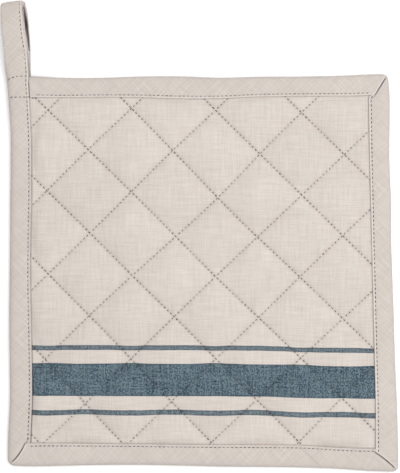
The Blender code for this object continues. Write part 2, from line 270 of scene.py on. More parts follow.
def against_binding(x, y):
    """How much the cloth stands up beside the binding: a bell of the distance from its edge."""
    return LIP_LIFT * np.exp(-(border_distance(x, y) / LIP_LIFT_WIDTH) ** 2)


print("from the middle to the binding:", side_distances(0.0, 0.0).round(1), "mm")

# %% Pillows
PRESSED_TOP = 3.9
PRESSED_UNDERSIDE = 1.3
FACE_RISE = 2.4
BACK_RISE = 1.8
DIAMOND_FULLNESS = 2.6
PRESSED_BORDER = 0.3  # the binding presses the pad flat this far out, mm
BORDER_RISE_WIDTH = 6.0


def fullness(x, y):
    """Share of the full rise: nothing on a seam or at the border, and 1 well away from them.

    It is the product, over both families and the border, of 1 less (1 less the way out) to a power.
    """
    rise = 1.0
    for family in range(2):
        count, _ = line_count(x, y, family)
        between = 2.0 * np.abs(count - np.round(count))
        rise = rise * (1.0 - (1.0 - between) ** DIAMOND_FULLNESS)
    border = np.clip((border_distance(x, y) - PRESSED_BORDER) / BORDER_RISE_WIDTH, 0.0, 1.0)
    return rise * (1.0 - (1.0 - border) ** DIAMOND_FULLNESS)


print("rise in the middle of the face:", fullness(np.array([15.0]), np.array([0.0])).round(2))

# %% [markdown]
# ## From numbers to a mesh
# Every piece below is worked out as whole arrays of points, then handed to one helper. It
# writes the points, the faces, a cloth map in millimetres, and any values that a material reads.

# %% One helper for every piece
def cloth_piece(name, points, faces, materials, cloth_map=None, values=None, slots=None):
    """Make an object from points in mm, faces, a map of the cloth and named values for each point."""
    mesh = bpy.data.meshes.new(name)
    mesh.from_pydata(((points - MIDDLE) * MM).tolist(), [], faces)
    corners = np.zeros(len(mesh.loops), dtype=np.int32)
    mesh.loops.foreach_get("vertex_index", corners)
    if cloth_map is not None:
        layer = mesh.uv_layers.new(name="cloth")
        layer.data.foreach_set("uv", cloth_map[corners].astype(np.float32).ravel())
    for key, value in (values or {}).items():
        kept = mesh.attributes.new(key, "FLOAT", "POINT")
        kept.data.foreach_set("value", np.asarray(value, dtype=np.float32).ravel())
    for material in materials:
        mesh.materials.append(material)
    if slots is not None:
        mesh.polygons.foreach_set("material_index", np.asarray(slots, dtype=np.int32))
    mesh.shade_smooth()
    mesh.update()
    piece = bpy.data.objects.new(name, mesh)
    bpy.context.scene.collection.objects.link(piece)
    triangles = sum(len(f) - 2 for f in faces)
    print(f"{name}: {len(points)} points, {triangles} triangles")
    return piece


# %% Nets and tubes
def net_faces(rows, columns, first=0, wrap=False):
    """Four-sided faces of a net numbered row by row; wrap joins the last column to the first."""
    row, k = np.meshgrid(np.arange(rows - 1), np.arange(columns if wrap else columns - 1), indexing="ij")
    n = (k + 1) % columns
    here = first + row * columns
    beyond = here + columns
    return np.stack((here + k, here + n, beyond + n, beyond + k), axis=-1).reshape(-1, 4).tolist()


def tube_faces(points, rows, columns):
    """Faces of a closed tube, its sides and both ends, turned outwards by the sign of its volume."""
    sides = net_faces(rows, columns, wrap=True)
    ends = [list(range(columns))[::-1], list(range((rows - 1) * columns, rows * columns))]
    a, b, c = (points[[face[k] for face in sides]] for k in range(3))
    inwards = (np.cross(b - a, c - a) * (a - points.mean(axis=0))).sum() < 0
    return [face[::-1] if inwards else face for face in sides + ends]


def path_run(path):
    """Length of a path up to each of its points: the sum of its steps."""
    steps = np.linalg.norm(np.diff(path, axis=0), axis=1)
    return np.concatenate(((0.0,), np.cumsum(steps)))


print("a net of 3 by 3 points has", len(net_faces(3, 3)), "faces")

# %% [markdown]
# ## A small language for materials
# A woven cloth is easier to write as sums than to draw as a web of nodes. A value below stands
# for a number that differs from point to point. Sums of values add the nodes that work them
# out, so that a formula in the code reads as it would on paper.

# %% Values that can be added up
class Value:
    """A number or colour that a material works out at each point."""

    def __init__(self, socket):
        self.socket = socket
        self.tree = socket.id_data

    def __add__(self, other):
        return calc("ADD", self, other)

    def __sub__(self, other):
        return calc("SUBTRACT", self, other)

    def __rsub__(self, other):
        return calc("SUBTRACT", other, self)

    def __mul__(self, other):
        return calc("MULTIPLY", self, other)

    def __truediv__(self, other):
        return calc("DIVIDE", self, other)

    def __pow__(self, power):
        return calc("POWER", self, power)

    def __abs__(self):
        return calc("ABSOLUTE", self)


def tree_of(*values):
    """The node tree that the worked-out values among these belong to."""
    return next(value.tree for value in values if isinstance(value, Value))


def put(value, socket):
    """Join a worked-out value to a socket, or set the socket to a plain number or colour."""
    if isinstance(value, Value):
        value.tree.links.new(value.socket, socket)
    else:
        socket.default_value = (*value, 1.0) if isinstance(value, tuple) else value


def calc(operation, *values, clamp=False):
    """One sum, such as FLOOR or MAXIMUM, of plain numbers and other values."""
    made = tree_of(*values).nodes.new("ShaderNodeMath")
    made.operation = operation
    made.use_clamp = clamp
    for socket, value in zip(made.inputs, values):
        put(value, socket)
    return Value(made.outputs[0])


def held(value):
    """The value, held between 0 and 1."""
    return calc("ADD", value, 0.0, clamp=True)


# %% Noise, mixes and bells
def cloud(x, y, seed, detail=2.0):
    """Soft noise over two lengths that are already scaled; the seed picks another patch of it."""
    tree = tree_of(x, y)
    place = tree.nodes.new("ShaderNodeCombineXYZ")
    for socket, value in zip(place.inputs, (x, y, float(seed))):
        put(value, socket)
    made = tree.nodes.new("ShaderNodeTexNoise")
    tree.links.new(place.outputs[0], made.inputs["Vector"])
    made.inputs["Scale"].default_value = 1.0
    made.inputs["Detail"].default_value = detail
    return Value(made.outputs[0])


def dye(share, first, second, blend="MIX"):
    """A colour between two others; blend MULTIPLY darkens the first by the second instead."""
    made = tree_of(share, first, second).nodes.new("ShaderNodeMix")
    made.data_type = "RGBA"
    made.blend_type = blend
    for socket, value in zip((made.inputs[0], made.inputs[6], made.inputs[7]), (share, first, second)):
        put(value, socket)
    return Value(made.outputs[2])


def bell(distance, width):
    """1 on a line and falling to nothing beside it: e to the power of minus (distance / width) squared."""
    ratio = distance / width
    return calc("POWER", math.e, ratio * ratio * -1.0)


# %% What the mesh tells, and the shader
def point_value(tree, name):
    """A value that the mesh carries at its points."""
    made = tree.nodes.new("ShaderNodeAttribute")
    made.attribute_name = name
    return Value(made.outputs["Fac"])


def cloth_place(tree):
    """Where a point lies on the cloth map: along and across, mm."""
    cloth_map = tree.nodes.new("ShaderNodeUVMap")
    cloth_map.uv_map = "cloth"
    parts = tree.nodes.new("ShaderNodeSeparateXYZ")
    tree.links.new(cloth_map.outputs[0], parts.inputs[0])
    return Value(parts.outputs[0]), Value(parts.outputs[1])


SHINE = 0.25
SHEEN_ROUGHNESS = 0.5


def new_material(name, roughness, sheen):
    """An empty matt material: its node tree and its shader."""
    material = bpy.data.materials.new(name)
    material.use_nodes = True
    shader = material.node_tree.nodes["Principled BSDF"]
    shader.inputs["Roughness"].default_value = roughness
    shader.inputs["Specular IOR Level"].default_value = SHINE
    shader.inputs["Sheen Weight"].default_value = sheen
    shader.inputs["Sheen Roughness"].default_value = SHEEN_ROUGHNESS
    return material, material.node_tree, shader


def finish_shader(shader, colour, height, unit):
    """Give the shader its colour, and a relief whose height is counted in a unit of length."""
    put(colour, shader.inputs["Base Color"])
    bump = height.tree.nodes.new("ShaderNodeBump")
    bump.inputs["Distance"].default_value = unit
    put(height, bump.inputs["Height"])
    put(Value(bump.outputs[0]), shader.inputs["Normal"])


# %% [markdown]
# ## Linen
# The cloth is a plain weave: each yarn goes over one and under the next. The product of two
# sines, one for each set of yarns, is positive where the upright yarn lies on top and negative
# where the level one does, so it gives both the relief and which yarn is seen. Linen yarn is
# uneven, and each yarn gets a tone of its own that drifts along its length. Seen from a step
# away that is what makes the faint streaks both ways.
#
# The stripes are dyed in the yarn and not printed. Only the level yarns are blue there, and
# flecks of the natural upright yarn show between them.

# %% Yarns
YARN = 0.62  # from one yarn to the next, mm
YARN_CHANGE = 0.83  # how much the tone changes from one yarn to the next
YARN_DRIFT = 0.07  # and along a yarn, for each mm
ROUND_YARN = 0.6  # a power that rounds the backs of the yarns
YARN_EDGE = 3.0  # how sharp the edge of a yarn is


def weave(u, v):
    """The weave at a place: its relief, where the upright yarn is on top, and both yarns' tones."""
    warp, weft = u / YARN, v / YARN
    crossing = calc("SINE", warp * math.pi) * calc("SINE", weft * math.pi)
    relief = abs(crossing) ** ROUND_YARN
    upright_on_top = held(crossing * YARN_EDGE + 0.5)
    warp_tone = cloud(calc("FLOOR", warp) * YARN_CHANGE, v * YARN_DRIFT, seed=21, detail=3.0)
    weft_tone = cloud(u * YARN_DRIFT, calc("FLOOR", weft) * YARN_CHANGE, seed=47, detail=3.0)
    return relief, upright_on_top, warp_tone, weft_tone


print("yarns to a centimetre:", round(10 / YARN))

# %% Undyed cloth
PATCH_RATE = 0.03  # how fast large light and dark patches follow each other
NATURAL_LIGHT = (0.573, 0.523, 0.480)
NATURAL_DARK = (0.437, 0.392, 0.358)
# How much the yarns, the patches and the relief lighten the natural cloth, and the dark they start from;
# the relief's share is painted shade between the yarns.
YARN_SHARE, PATCH_SHARE, RELIEF_SHADE_SHARE, NATURAL_START = 2.2, 0.5, 0.25, -1.0


def natural_cloth(u, v, relief, yarn_tone, tone):
    """Undyed cloth: its lightness is a sum of the yarn's tone, large patches and the relief, the last a
    painted shade between the yarns.
    """
    patches = cloud(u * PATCH_RATE, v * PATCH_RATE, seed=5, detail=3.0)
    lightness = yarn_tone * YARN_SHARE + patches * PATCH_SHARE + relief * RELIEF_SHADE_SHARE
    lightness = held(lightness + NATURAL_START)
    light, dark = (tuple(c * tone for c in colour) for colour in (NATURAL_LIGHT, NATURAL_DARK))
    return dye(lightness, dark, light)


# %% Stripes
# Columns: lower edge, upper edge of each stripe, as a height on the cloth in mm, how blue it is.
STRIPES = ((-92.1, -89.4, 0.93), (-82.1, -65.4, 1.0), (-58.4, -55.9, 0.93))
STRIPE_EDGE = 5.0  # how sharp a stripe's edge is, for each mm
OUTLINE_IN = 0.35  # from a stripe's edge to the middle of that yarn, mm
OUTLINE_WIDTH = 0.4
BLUE_LIGHT = (0.101, 0.154, 0.184)
BLUE_DARK = (0.012, 0.028, 0.044)
# How much the level and upright yarns and a fine grain change the blue cloth.
WEFT_SHARE, WARP_SHARE, GRAIN_SHARE = 0.85, 0.65, 2.2
GRAIN_RATES = (1.9, 1.2)  # along and across, for each mm
BLUE_CONTRAST = 3.2
BLUE_MIDDLE = 0.45
SEWN_CONTRAST = 2.0  # how much more uneven the blue is in a seam's crease, from pulled yarns and painted shade, and how much darker, as painted shade
SEWN_PAINTED_SHADE = 0.14
FLECK = (0.235, 0.270, 0.290)
FLECK_SHARE = 0.7  # how much of a natural yarn shows through the blue
FLECK_FROM = 0.425  # the speckle that first shows as a fleck
FLECK_EDGE = 4.0  # how sharp a fleck is
SPECKLE_RATES = (1.8, 1.1)
SPECKLE_YARN = 0.4  # how far the flecks follow the upright yarns


def stripe_share(v):
    """1 inside a stripe and 0 outside, by how deep inside it a height lies; and its edge yarns."""
    share = outline = 0.0
    for low, high, depth in STRIPES:
        away = abs(v - (low + high) / 2)
        inside = (high - low) / 2 - away
        share = held(inside * STRIPE_EDGE + 0.5) * depth + share
        outline = bell(inside - OUTLINE_IN, OUTLINE_WIDTH) + outline
    return share, outline


def striped_cloth(u, v, upright_on_top, warp_tone, weft_tone, sewn):
    """Blue cloth: the tones less their mean of a half, more and darker where sewn, the darkening a painted
    shade, and flecks.
    """
    grain, speckle = (
        cloud(u * rates[0], v * rates[1], seed, detail=1.0)
        for rates, seed in ((GRAIN_RATES, 31), (SPECKLE_RATES, 77))
    )
    uneven = (weft_tone - 0.5) * WEFT_SHARE + (warp_tone - 0.5) * WARP_SHARE
    uneven = (uneven + (grain - 0.5) * GRAIN_SHARE) * (sewn * SEWN_CONTRAST + 1.0)
    # darker in a seam's crease: painted shade
    lightness = held((uneven - sewn * SEWN_PAINTED_SHADE) * BLUE_CONTRAST + BLUE_MIDDLE)
    speckle = speckle + (warp_tone - 0.5) * SPECKLE_YARN
    fleck = held((speckle - FLECK_FROM) * FLECK_EDGE) * upright_on_top * FLECK_SHARE
    return dye(fleck, dye(lightness, BLUE_DARK, BLUE_LIGHT), FLECK)


print("widths of the stripes:", [round(high - low, 1) for low, high, _ in STRIPES], "mm")

# %% Sewn lines in the cloth
STITCH_PITCH = 2.2  # from one stitch to the next, mm
CREASE_WIDTH = 0.85  # of a seam's trough, mm
CREASE_DEPTH = 0.22
CREASE_EVEN, CREASE_WAVE = 0.9, 0.3  # its even share, and what each stitch adds and takes, in the trough and in its painted shade
PUCKER_WIDTH = 1.7  # of the puckers beside it, mm
PUCKER_HEIGHT = 0.05


def stitch_wave(run):
    """1 under each stitch and -1 between two: the cosine of the run in stitches."""
    return calc("COSINE", run * (math.tau / STITCH_PITCH))


def seam_relief(tree, family):
    """A seam's crease, also the mask of its painted shade, and its height: a narrow trough with puckers
    that follow the stitches.
    """
    count = point_value(tree, f"{family}_count")
    wave = stitch_wave(point_value(tree, f"{family}_run"))
    away = abs(count - calc("ROUND", count)) * SEAM_SPACING
    crease = bell(away, CREASE_WIDTH) * (wave * CREASE_WAVE + CREASE_EVEN)
    pucker = bell(away, PUCKER_WIDTH) * wave
    return crease, pucker * PUCKER_HEIGHT - crease * CREASE_DEPTH


# %% One recipe for all the linen
WANDER_RATE = 0.09  # how fast the yarns wander, for each mm
WANDER_ALONG = 0.9  # and how far, mm
WANDER_ACROSS = 0.5
WEAVE_RELIEF = 0.05  # height of the weave, mm
YARN_RELIEF = 0.06  # how much a light yarn is thicker than a dark one, mm
OUTLINE_SHARE = 0.38  # how dark the first and last yarn of a stripe are
SHADE = (0.36, 0.32, 0.31)  # painted shade: what is left of the cloth's colour deep in a crease or beside the binding
FALL_SHADE = 0.22  # how much painted shade a falling and a rising seam show; the falling seams more, as the light comes from the upper right
RISE_SHADE = 0.13
CREVICE_OFF = 0.1  # from the binding to the painted shade it casts on the pad, mm
CREVICE_WIDTH = 0.5
PAINTED_HIGHLIGHT = (0.68, 0.625, 0.59)  # painted highlight on the ridge of a turned edge and on a mitre's fold
RIDGE_OFF = 0.80  # from the binding's seam to that ridge, mm
RIDGE_WIDTH = 0.34
TURNED_PUCKER_WIDTH = 1.2  # of the puckers on the binding, mm
TURNED_PUCKER_HEIGHT = 0.06
GAP_SHADE = (0.10, 0.085, 0.10)  # painted shade: what is left of it in the dark between two pieces
JOIN_WIDTH = 0.38  # of the painted shade line where two pieces meet, mm
JOIN_SINK = 0.2


def linen(name, tone=1.0, striped=False, bias=False, quilted=False, turned=False):
    """Woven linen: on the bias or straight, with stripes, sewn lines or a turned edge."""
    material, tree, shader = new_material(name, roughness=0.9, sheen=0.08)
    along, across = cloth_place(tree)
    u, v = along, across
    if bias:
        u = (along + across) * math.sqrt(0.5)
        v = (across - along) * math.sqrt(0.5)
    slow_u, slow_v = u * WANDER_RATE, v * WANDER_RATE
    u = cloud(slow_u, slow_v, seed=3) * WANDER_ALONG + u
    v = cloud(slow_u, slow_v, seed=9) * WANDER_ACROSS + v
    relief, upright_on_top, warp_tone, weft_tone = weave(u, v)
    yarn_tone = (warp_tone - weft_tone) * upright_on_top + weft_tone
    colour = natural_cloth(u, v, relief, yarn_tone, tone)
    height = relief * WEAVE_RELIEF + yarn_tone * YARN_RELIEF
    if quilted:
        fall_crease, fall_height = seam_relief(tree, "fall")
        rise_crease, rise_height = seam_relief(tree, "rise")
        height = height + calc("MINIMUM", fall_height, rise_height)
    if striped:
        sewn = calc("MAXIMUM", fall_crease, rise_crease)
        blue = striped_cloth(u, v, upright_on_top, warp_tone, weft_tone, sewn)
        share, outline = stripe_share(v)
        colour = dye(share, colour, dye(outline * OUTLINE_SHARE, blue, BLUE_DARK))
    if quilted:
        # painted shade in the seams' creases
        crease = calc("MAXIMUM", fall_crease * FALL_SHADE, rise_crease * RISE_SHADE)
        # painted shade beside the binding's edge
        crevice = bell(point_value(tree, "border") - CREVICE_OFF, CREVICE_WIDTH)
        crevice = crevice * point_value(tree, "crevice")
        colour = dye(calc("MAXIMUM", crease, crevice), colour, SHADE, "MULTIPLY")
    if turned:
        pucker = bell(point_value(tree, "seam_off"), TURNED_PUCKER_WIDTH) * stitch_wave(along)
        # painted highlight on the ridge, and painted shade on the lines where pieces meet
        ridge = bell(point_value(tree, "ridge"), RIDGE_WIDTH) * point_value(tree, "ridge_highlight")
        join = bell(point_value(tree, "join"), JOIN_WIDTH) * point_value(tree, "join_shade")
        height = height + pucker * TURNED_PUCKER_HEIGHT - join * JOIN_SINK
        colour = dye(join, dye(ridge, colour, PAINTED_HIGHLIGHT), GAP_SHADE, "MULTIPLY")
    finish_shader(shader, colour, height, MM)
    print(name, "uses", len(tree.nodes), "nodes")
    return material


# %% [markdown]
# ## Thread
# The seams are sewn in a taupe thread a little darker than the linen. Each stitch carries a
# tint of its own, because a real thread catches the light differently from one to the next.

# %% Thread, and the four materials
THREAD_LIGHT = (0.128, 0.104, 0.088)
THREAD_DARK = (0.028, 0.023, 0.020)
TWIST_DEPTH = 0.05  # mm


def thread():
    """Sewing thread: a mix of two taupes by the stitch's own tint, with a fine twist in the relief."""
    material, tree, shader = new_material("sewing thread", roughness=0.75, sheen=0.1)
    colour = dye(point_value(tree, "tint"), THREAD_DARK, THREAD_LIGHT)
    turn = calc("SINE", point_value(tree, "twist") * math.tau)
    finish_shader(shader, colour, turn, TWIST_DEPTH * MM)
    return material


linen_face = linen("striped linen", striped=True, quilted=True)
linen_back = linen("plain linen back", quilted=True)
linen_strip = linen("linen binding", tone=0.93, bias=True, turned=True)
sewing_thread = thread()

# %% [markdown]
# ## The quilted pad
# The pad is a face, a back and a filling sewn together. It could be inflated by a cloth
# simulation, but its pillows are shallow and the same all over, so a formula gives them more
# evenly: nothing on the seams, full height in the middle of a diamond. The pressed edge reaches
# into the binding. Face, back and rim are one closed surface.
#
# The woven stripes wander with the cloth, which sinks a little to the right and is drawn in
# towards each crossing of two seams. The cloth map holds that, so weave and stripes move as one.

# %% The net of the pad
PAD_WIDTH = 198.0  # this and the height only set how many rows the net has, mm
PAD_HEIGHT = 202.0
PAD_STEP = 0.86  # between two points of the net, mm
FLAP_ROWS = (3.4, 4.8, 6.4, 8.2, 9.8)  # rows hidden by the binding, from its outer edge, mm
FIRST_FREE_ROW = 11.4
FIRST_X, FIRST_Y = (-96.0, 98.0), (-116.0, 80.0)  # a first guess of the net's reach, mm
PLAN_ROUNDS = 5
RIM_INSET = 2.8


def spread(length):
    """Rows from edge to edge: each one's share of the way, and its distance in from the edges."""
    count = round((length - 2 * FIRST_FREE_ROW) / PAD_STEP)
    t = np.linspace(0.0, 1.0, count + 1)
    share = np.concatenate((np.zeros(len(FLAP_ROWS)), t, np.ones(len(FLAP_ROWS))))
    distance = np.concatenate((FLAP_ROWS, FIRST_FREE_ROW * (1 - 2 * t), -np.array(FLAP_ROWS[::-1])))
    return share, distance


def pad_plan():
    """Net of plan points, each a share of the way from side to side, found in a few rounds."""
    share_x, inset_x = spread(PAD_WIDTH)
    share_y, inset_y = spread(PAD_HEIGHT)
    x = np.tile(np.linspace(*FIRST_X, len(share_x)), (len(share_y), 1))
    y = np.tile(np.linspace(*FIRST_Y, len(share_y))[:, None], (1, len(share_x)))
    for _ in range(PLAN_ROUNDS):
        left, right = edge("left", y, "outer"), edge("right", y, "outer")
        x = left + (right - left) * share_x[None, :] + inset_x[None, :]
        bottom, top = edge("bottom", x, "outer"), edge("top", x, "outer")
        y = bottom + (top - bottom) * share_y[:, None] + inset_y[:, None]
    return x, y


print("net of the pad:", len(spread(PAD_WIDTH)[0]), "by", len(spread(PAD_HEIGHT)[0]), "points")

# %% How the woven lines lie
# How far the woven lines sink towards the right. Columns: x, drop, mm.
CLOTH_DROP = np.array((
    (-100.0, 0.00), (-60.0, 0.00), (-20.0, 0.10), (18.0, 0.22), (31.0, 0.40),
    (41.0, 0.62), (52.0, 1.00), (61.0, 1.22), (72.0, 1.36), (83.0, 1.48), (100.0, 1.85),
))
DRAW_IN = 0.10  # share of the way to a crossing that the cloth is drawn in
DRAW_IN_WIDTH = 6.0


def drawn_cloth(x, y, counts):
    """Where each point lies on the flat cloth: its place, plus drop, less the pull to a crossing."""
    across = np.array([line_directions(family[0])[1] for family in FAMILIES])
    off = np.stack([(c - np.round(c)) * SEAM_SPACING for c in counts], axis=-1)
    off = off @ np.linalg.inv(across).T
    pull = DRAW_IN * np.exp(-(off ** 2).sum(axis=-1) / (2 * DRAW_IN_WIDTH ** 2))
    drop = smooth_rows(x, CLOTH_DROP[:, 0], CLOTH_DROP[:, 1])
    return x + pull * off[..., 0], y + drop + pull * off[..., 1]


# %% The painted shade along the binding
# How dark the painted shade is that the binding's edge casts on the pad, and where it changes, mm.
LEFT_CREVICE = 0.5
FOOT_CREVICE = 0.5  # added towards the left side's lower end
FOOT_FROM, FOOT_TO = -40.0, -90.0
LOOP_CREVICE = -0.2  # and towards the loop
LOOP_FROM, LOOP_TO = 35.0, 65.0
TOP_CREVICE = 0.08
OTHER_CREVICE = 0.26
LOW_RIGHT_CREVICE = 0.14  # added on the lower part of the right side
LOW_FROM, LOW_TO = -40.0, -55.0
NEAREST_WITHIN = 0.5  # a side this much further than the nearest still counts


def painted_crevice_shade(x, y):
    """How dark the painted shade along the binding is: set by the side that is nearest, with soft changes
    along it.
    """
    distances = side_distances(x, y)
    at_left, at_right, at_top, _ = distances < distances.min(axis=0) + NEAREST_WITHIN
    left = LEFT_CREVICE + FOOT_CREVICE * ramp(y, FOOT_FROM, FOOT_TO)
    left = left + LOOP_CREVICE * ramp(y, LOOP_FROM, LOOP_TO)
    other = OTHER_CREVICE + LOW_RIGHT_CREVICE * at_right * ramp(y, LOW_FROM, LOW_TO)
    return np.where(at_left, left, np.where(at_top, TOP_CREVICE, other))


# %% The surface of the pad
def outward(border, low, high):
    """-1 at the border points on the low edge of the net, 1 on the high edge, 0 elsewhere."""
    return np.isin(border, high).astype(float) - np.isin(border, low)


def make_pad():
    """The pad's closed surface: face, back and rim over one net."""
    x, y = pad_plan()
    rows, columns = x.shape
    rise = fullness(x, y)
    raised = lift(x, y)
    counts_runs = [line_count(x, y, family) for family in range(2)]
    counts = [c for c, _ in counts_runs]
    cloth_u, cloth_v = drawn_cloth(x, y, counts)
    face_z = PRESSED_TOP + FACE_RISE * rise + raised + against_binding(x, y)
    back_z = np.maximum(PRESSED_UNDERSIDE - BACK_RISE * rise, 0.0) + raised
    number = np.arange(rows * columns).reshape(rows, columns)
    border = np.concatenate((number[0, :-1], number[:-1, -1], number[-1, :0:-1], number[:0:-1, 0]))
    reach = FLAP_ROWS[0] - RIM_INSET
    rim_x = x.ravel()[border] + reach * outward(border, number[:, 0], number[:, -1])
    rim_y = y.ravel()[border] + reach * outward(border, number[0], number[-1])
    rim_z = (PRESSED_TOP + PRESSED_UNDERSIDE) / 2 + raised.ravel()[border]
    sheets = [np.stack((x, y, z), axis=-1).reshape(-1, 3) for z in (face_z, back_z)]
    points = np.concatenate((*sheets, np.stack((rim_x, rim_y, rim_z), axis=1)))
    shift = rows * columns
    face = net_faces(rows, columns)
    back = [f[::-1] for f in net_faces(rows, columns, shift)]
    n = np.arange(len(border))
    m = (n + 1) % len(border)
    upper = np.stack((2 * shift + n, 2 * shift + m, border[m], border[n]), axis=1).tolist()
    lower = np.stack((shift + border[n], shift + border[m], 2 * shift + m, 2 * shift + n), axis=1).tolist()
    flat = np.stack((cloth_u, cloth_v), axis=-1).reshape(-1, 2)
    marks = {"border": border_distance(x, y), "crevice": painted_crevice_shade(x, y)}
    for family, (count, run) in zip(("fall", "rise"), counts_runs):
        marks[f"{family}_count"] = count
        marks[f"{family}_run"] = run
    values = {}
    for key, value in marks.items():
        value = value.ravel()
        values[key] = np.concatenate((value, value, value[border]))
    return cloth_piece(
        "quilted_linen_pad",
        points,
        face + back + upper + lower,
        (linen_face, linen_back),
        np.concatenate((flat, flat, flat[border])),
        values,
        [0] * len(face) + [1] * len(back) + [0] * len(upper) + [1] * len(lower),
    )


pad = make_pad()
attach(pad, "root")
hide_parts("quilted_pad")

# %% [markdown]
# ## The binding
# A strip of linen is folded over the raw edge, its own edges turned under, and one seam goes
# through all layers. Its section is a long C. The turned edge makes a small ridge, and the seam
# presses a groove just beside it. One table holds this section and, row for row, the section
# of the loop, where the same strip is folded flat on itself.

# %% The section of the strip
BINDING_WIDTH = 10.8
STRAP_WIDTH = 12.0
SEAM_IN = 9.5  # from the outer edge to the binding's seam, mm
STRAP_SEAM_IN = 9.9  # from the fold to the loop's seam, mm
# Columns: distance in and height below the top on the binding, then the same on the flat loop.
SECTION = np.array((
    (10.62, -0.70, 10.90, -0.72), (10.76, -0.38, 11.06, -0.42), (10.56, -0.06, 10.82, -0.05),
    (10.14, 0.02, 10.45, 0.02), (9.80, -0.12, 10.18, -0.10), (9.50, -0.20, 9.90, -0.16),
    (9.20, -0.12, 9.62, -0.10), (8.40, -0.03, 8.40, 0.00), (6.50, 0.02, 6.00, 0.03),
    (4.50, 0.00, 3.80, 0.02), (2.60, -0.20, 1.90, -0.05), (1.20, -0.72, 0.75, -0.22),
    (0.35, -1.55, 0.15, -0.50), (0.00, -2.60, 0.00, -0.80), (0.35, -3.65, 0.15, -1.10),
    (1.20, -4.55, 0.75, -1.38), (2.60, -5.08, 1.90, -1.55), (5.00, -5.20, 4.50, -1.60),
    (8.40, -5.20, 8.40, -1.60), (9.30, -5.02, 9.00, -1.48), (10.10, -5.20, 11.30, -1.60),
    (10.70, -5.05, 11.92, -1.46), (10.85, -4.70, 12.00, -1.22), (10.60, -4.30, 11.80, -0.98),
    (9.50, -4.20, 10.80, -0.90), (5.00, -4.20, 5.00, -0.86), (2.80, -4.10, 2.20, -0.85),
    (1.45, -3.40, 1.15, -0.83), (1.20, -2.60, 1.00, -0.80), (1.45, -1.80, 1.15, -0.77),
    (2.80, -1.10, 2.20, -0.75), (5.00, -1.00, 5.00, -0.74), (9.50, -0.98, 9.40, -0.74),
))
FOLD_ROW = 13  # the row on the outer fold
SLACK = 0.05  # how uneven the cloth lies, mm
SLACK_WAVES = 6
SLACK_LENGTHS = (9.0, 34.0)  # of the shortest and the longest wave, mm
SLACK_TURN = 0.6  # how far a wave may turn from the strip's length


def fine_rows(rows):
    """Twice the rows on a smooth closed curve: halfway is 9/16 of the near rows less 1/16 of the far."""
    before, after, far = (np.roll(rows, k, axis=0) for k in (1, -1, -2))
    halfway = (9 * rows + 9 * after - before - far) / 16
    return np.stack((rows, halfway), axis=1).reshape(-1, rows.shape[1])


def developed(section, fold):
    """Distance round the section from the outer fold, below 0 on the underside."""
    run = path_run(section)
    return run[fold] - run


def slack(a, b):
    """Uneven cloth: the sum of a few waves whose lengths, directions and phases are drawn once."""
    total = 0.0
    for _ in range(SLACK_WAVES):
        length = rng.uniform(*SLACK_LENGTHS)
        turn = rng.uniform(-SLACK_TURN, SLACK_TURN)
        phase = rng.uniform(0.0, math.tau)
        total = total + np.sin((a * math.cos(turn) + b * math.sin(turn)) * math.tau / length + phase)
    return SLACK * total / math.sqrt(SLACK_WAVES)


print("rows of the section:", len(SECTION), "and finer:", len(fine_rows(SECTION)))

# %% A strip along one side
TOP_HEIGHT = 5.2  # the strip's upper face above the surface, mm
STRIP_STEP = 0.7  # between two rows of points along a strip, mm
END_ROWS = np.array((0.0, 0.05, 0.15, 0.32, 0.6, 1.0))  # the rows closest to its ends
FIRST_EVEN_ROW = 1.6  # where the even rows start, mm from an end
CORNER_RADIUS = {"top right": 3.0, "bottom right": 2.7, "bottom left": 3.5}
ARC_MIDDLE = 1.0 - math.sqrt(0.5)
# At a mitre the folded end of one strip lies over the next, further than the inner corner. Where
# it ends on the inner edge, mm.
MITRE_ENDS = {
    "top right": (90.5, 72.8),
    "bottom right": (90.7, -111.6),
    "bottom left": (-90.2, -106.8),
}
# How far the middle of a mitre's line bows to the right and up, mm.
MITRE_BOWS = {
    "top right": np.array((0.0, 0.0)),
    "bottom right": np.array((0.25, 0.35)),
    "bottom left": np.array((0.80, -0.55)),
}
OVER_REACH = 18.0  # how far back from the mitre the strip on top is drawn out
UNDER_REACH = 6.0
MITRE_REACH = 35.0
MITRE_GAP = 0.07


def corner_inset(distance, radius):
    """How far a round corner falls inside the edge: the radius less the side of a right triangle."""
    run = np.clip(radius - distance, 0.0, radius)
    return radius - np.sqrt(radius ** 2 - run ** 2)


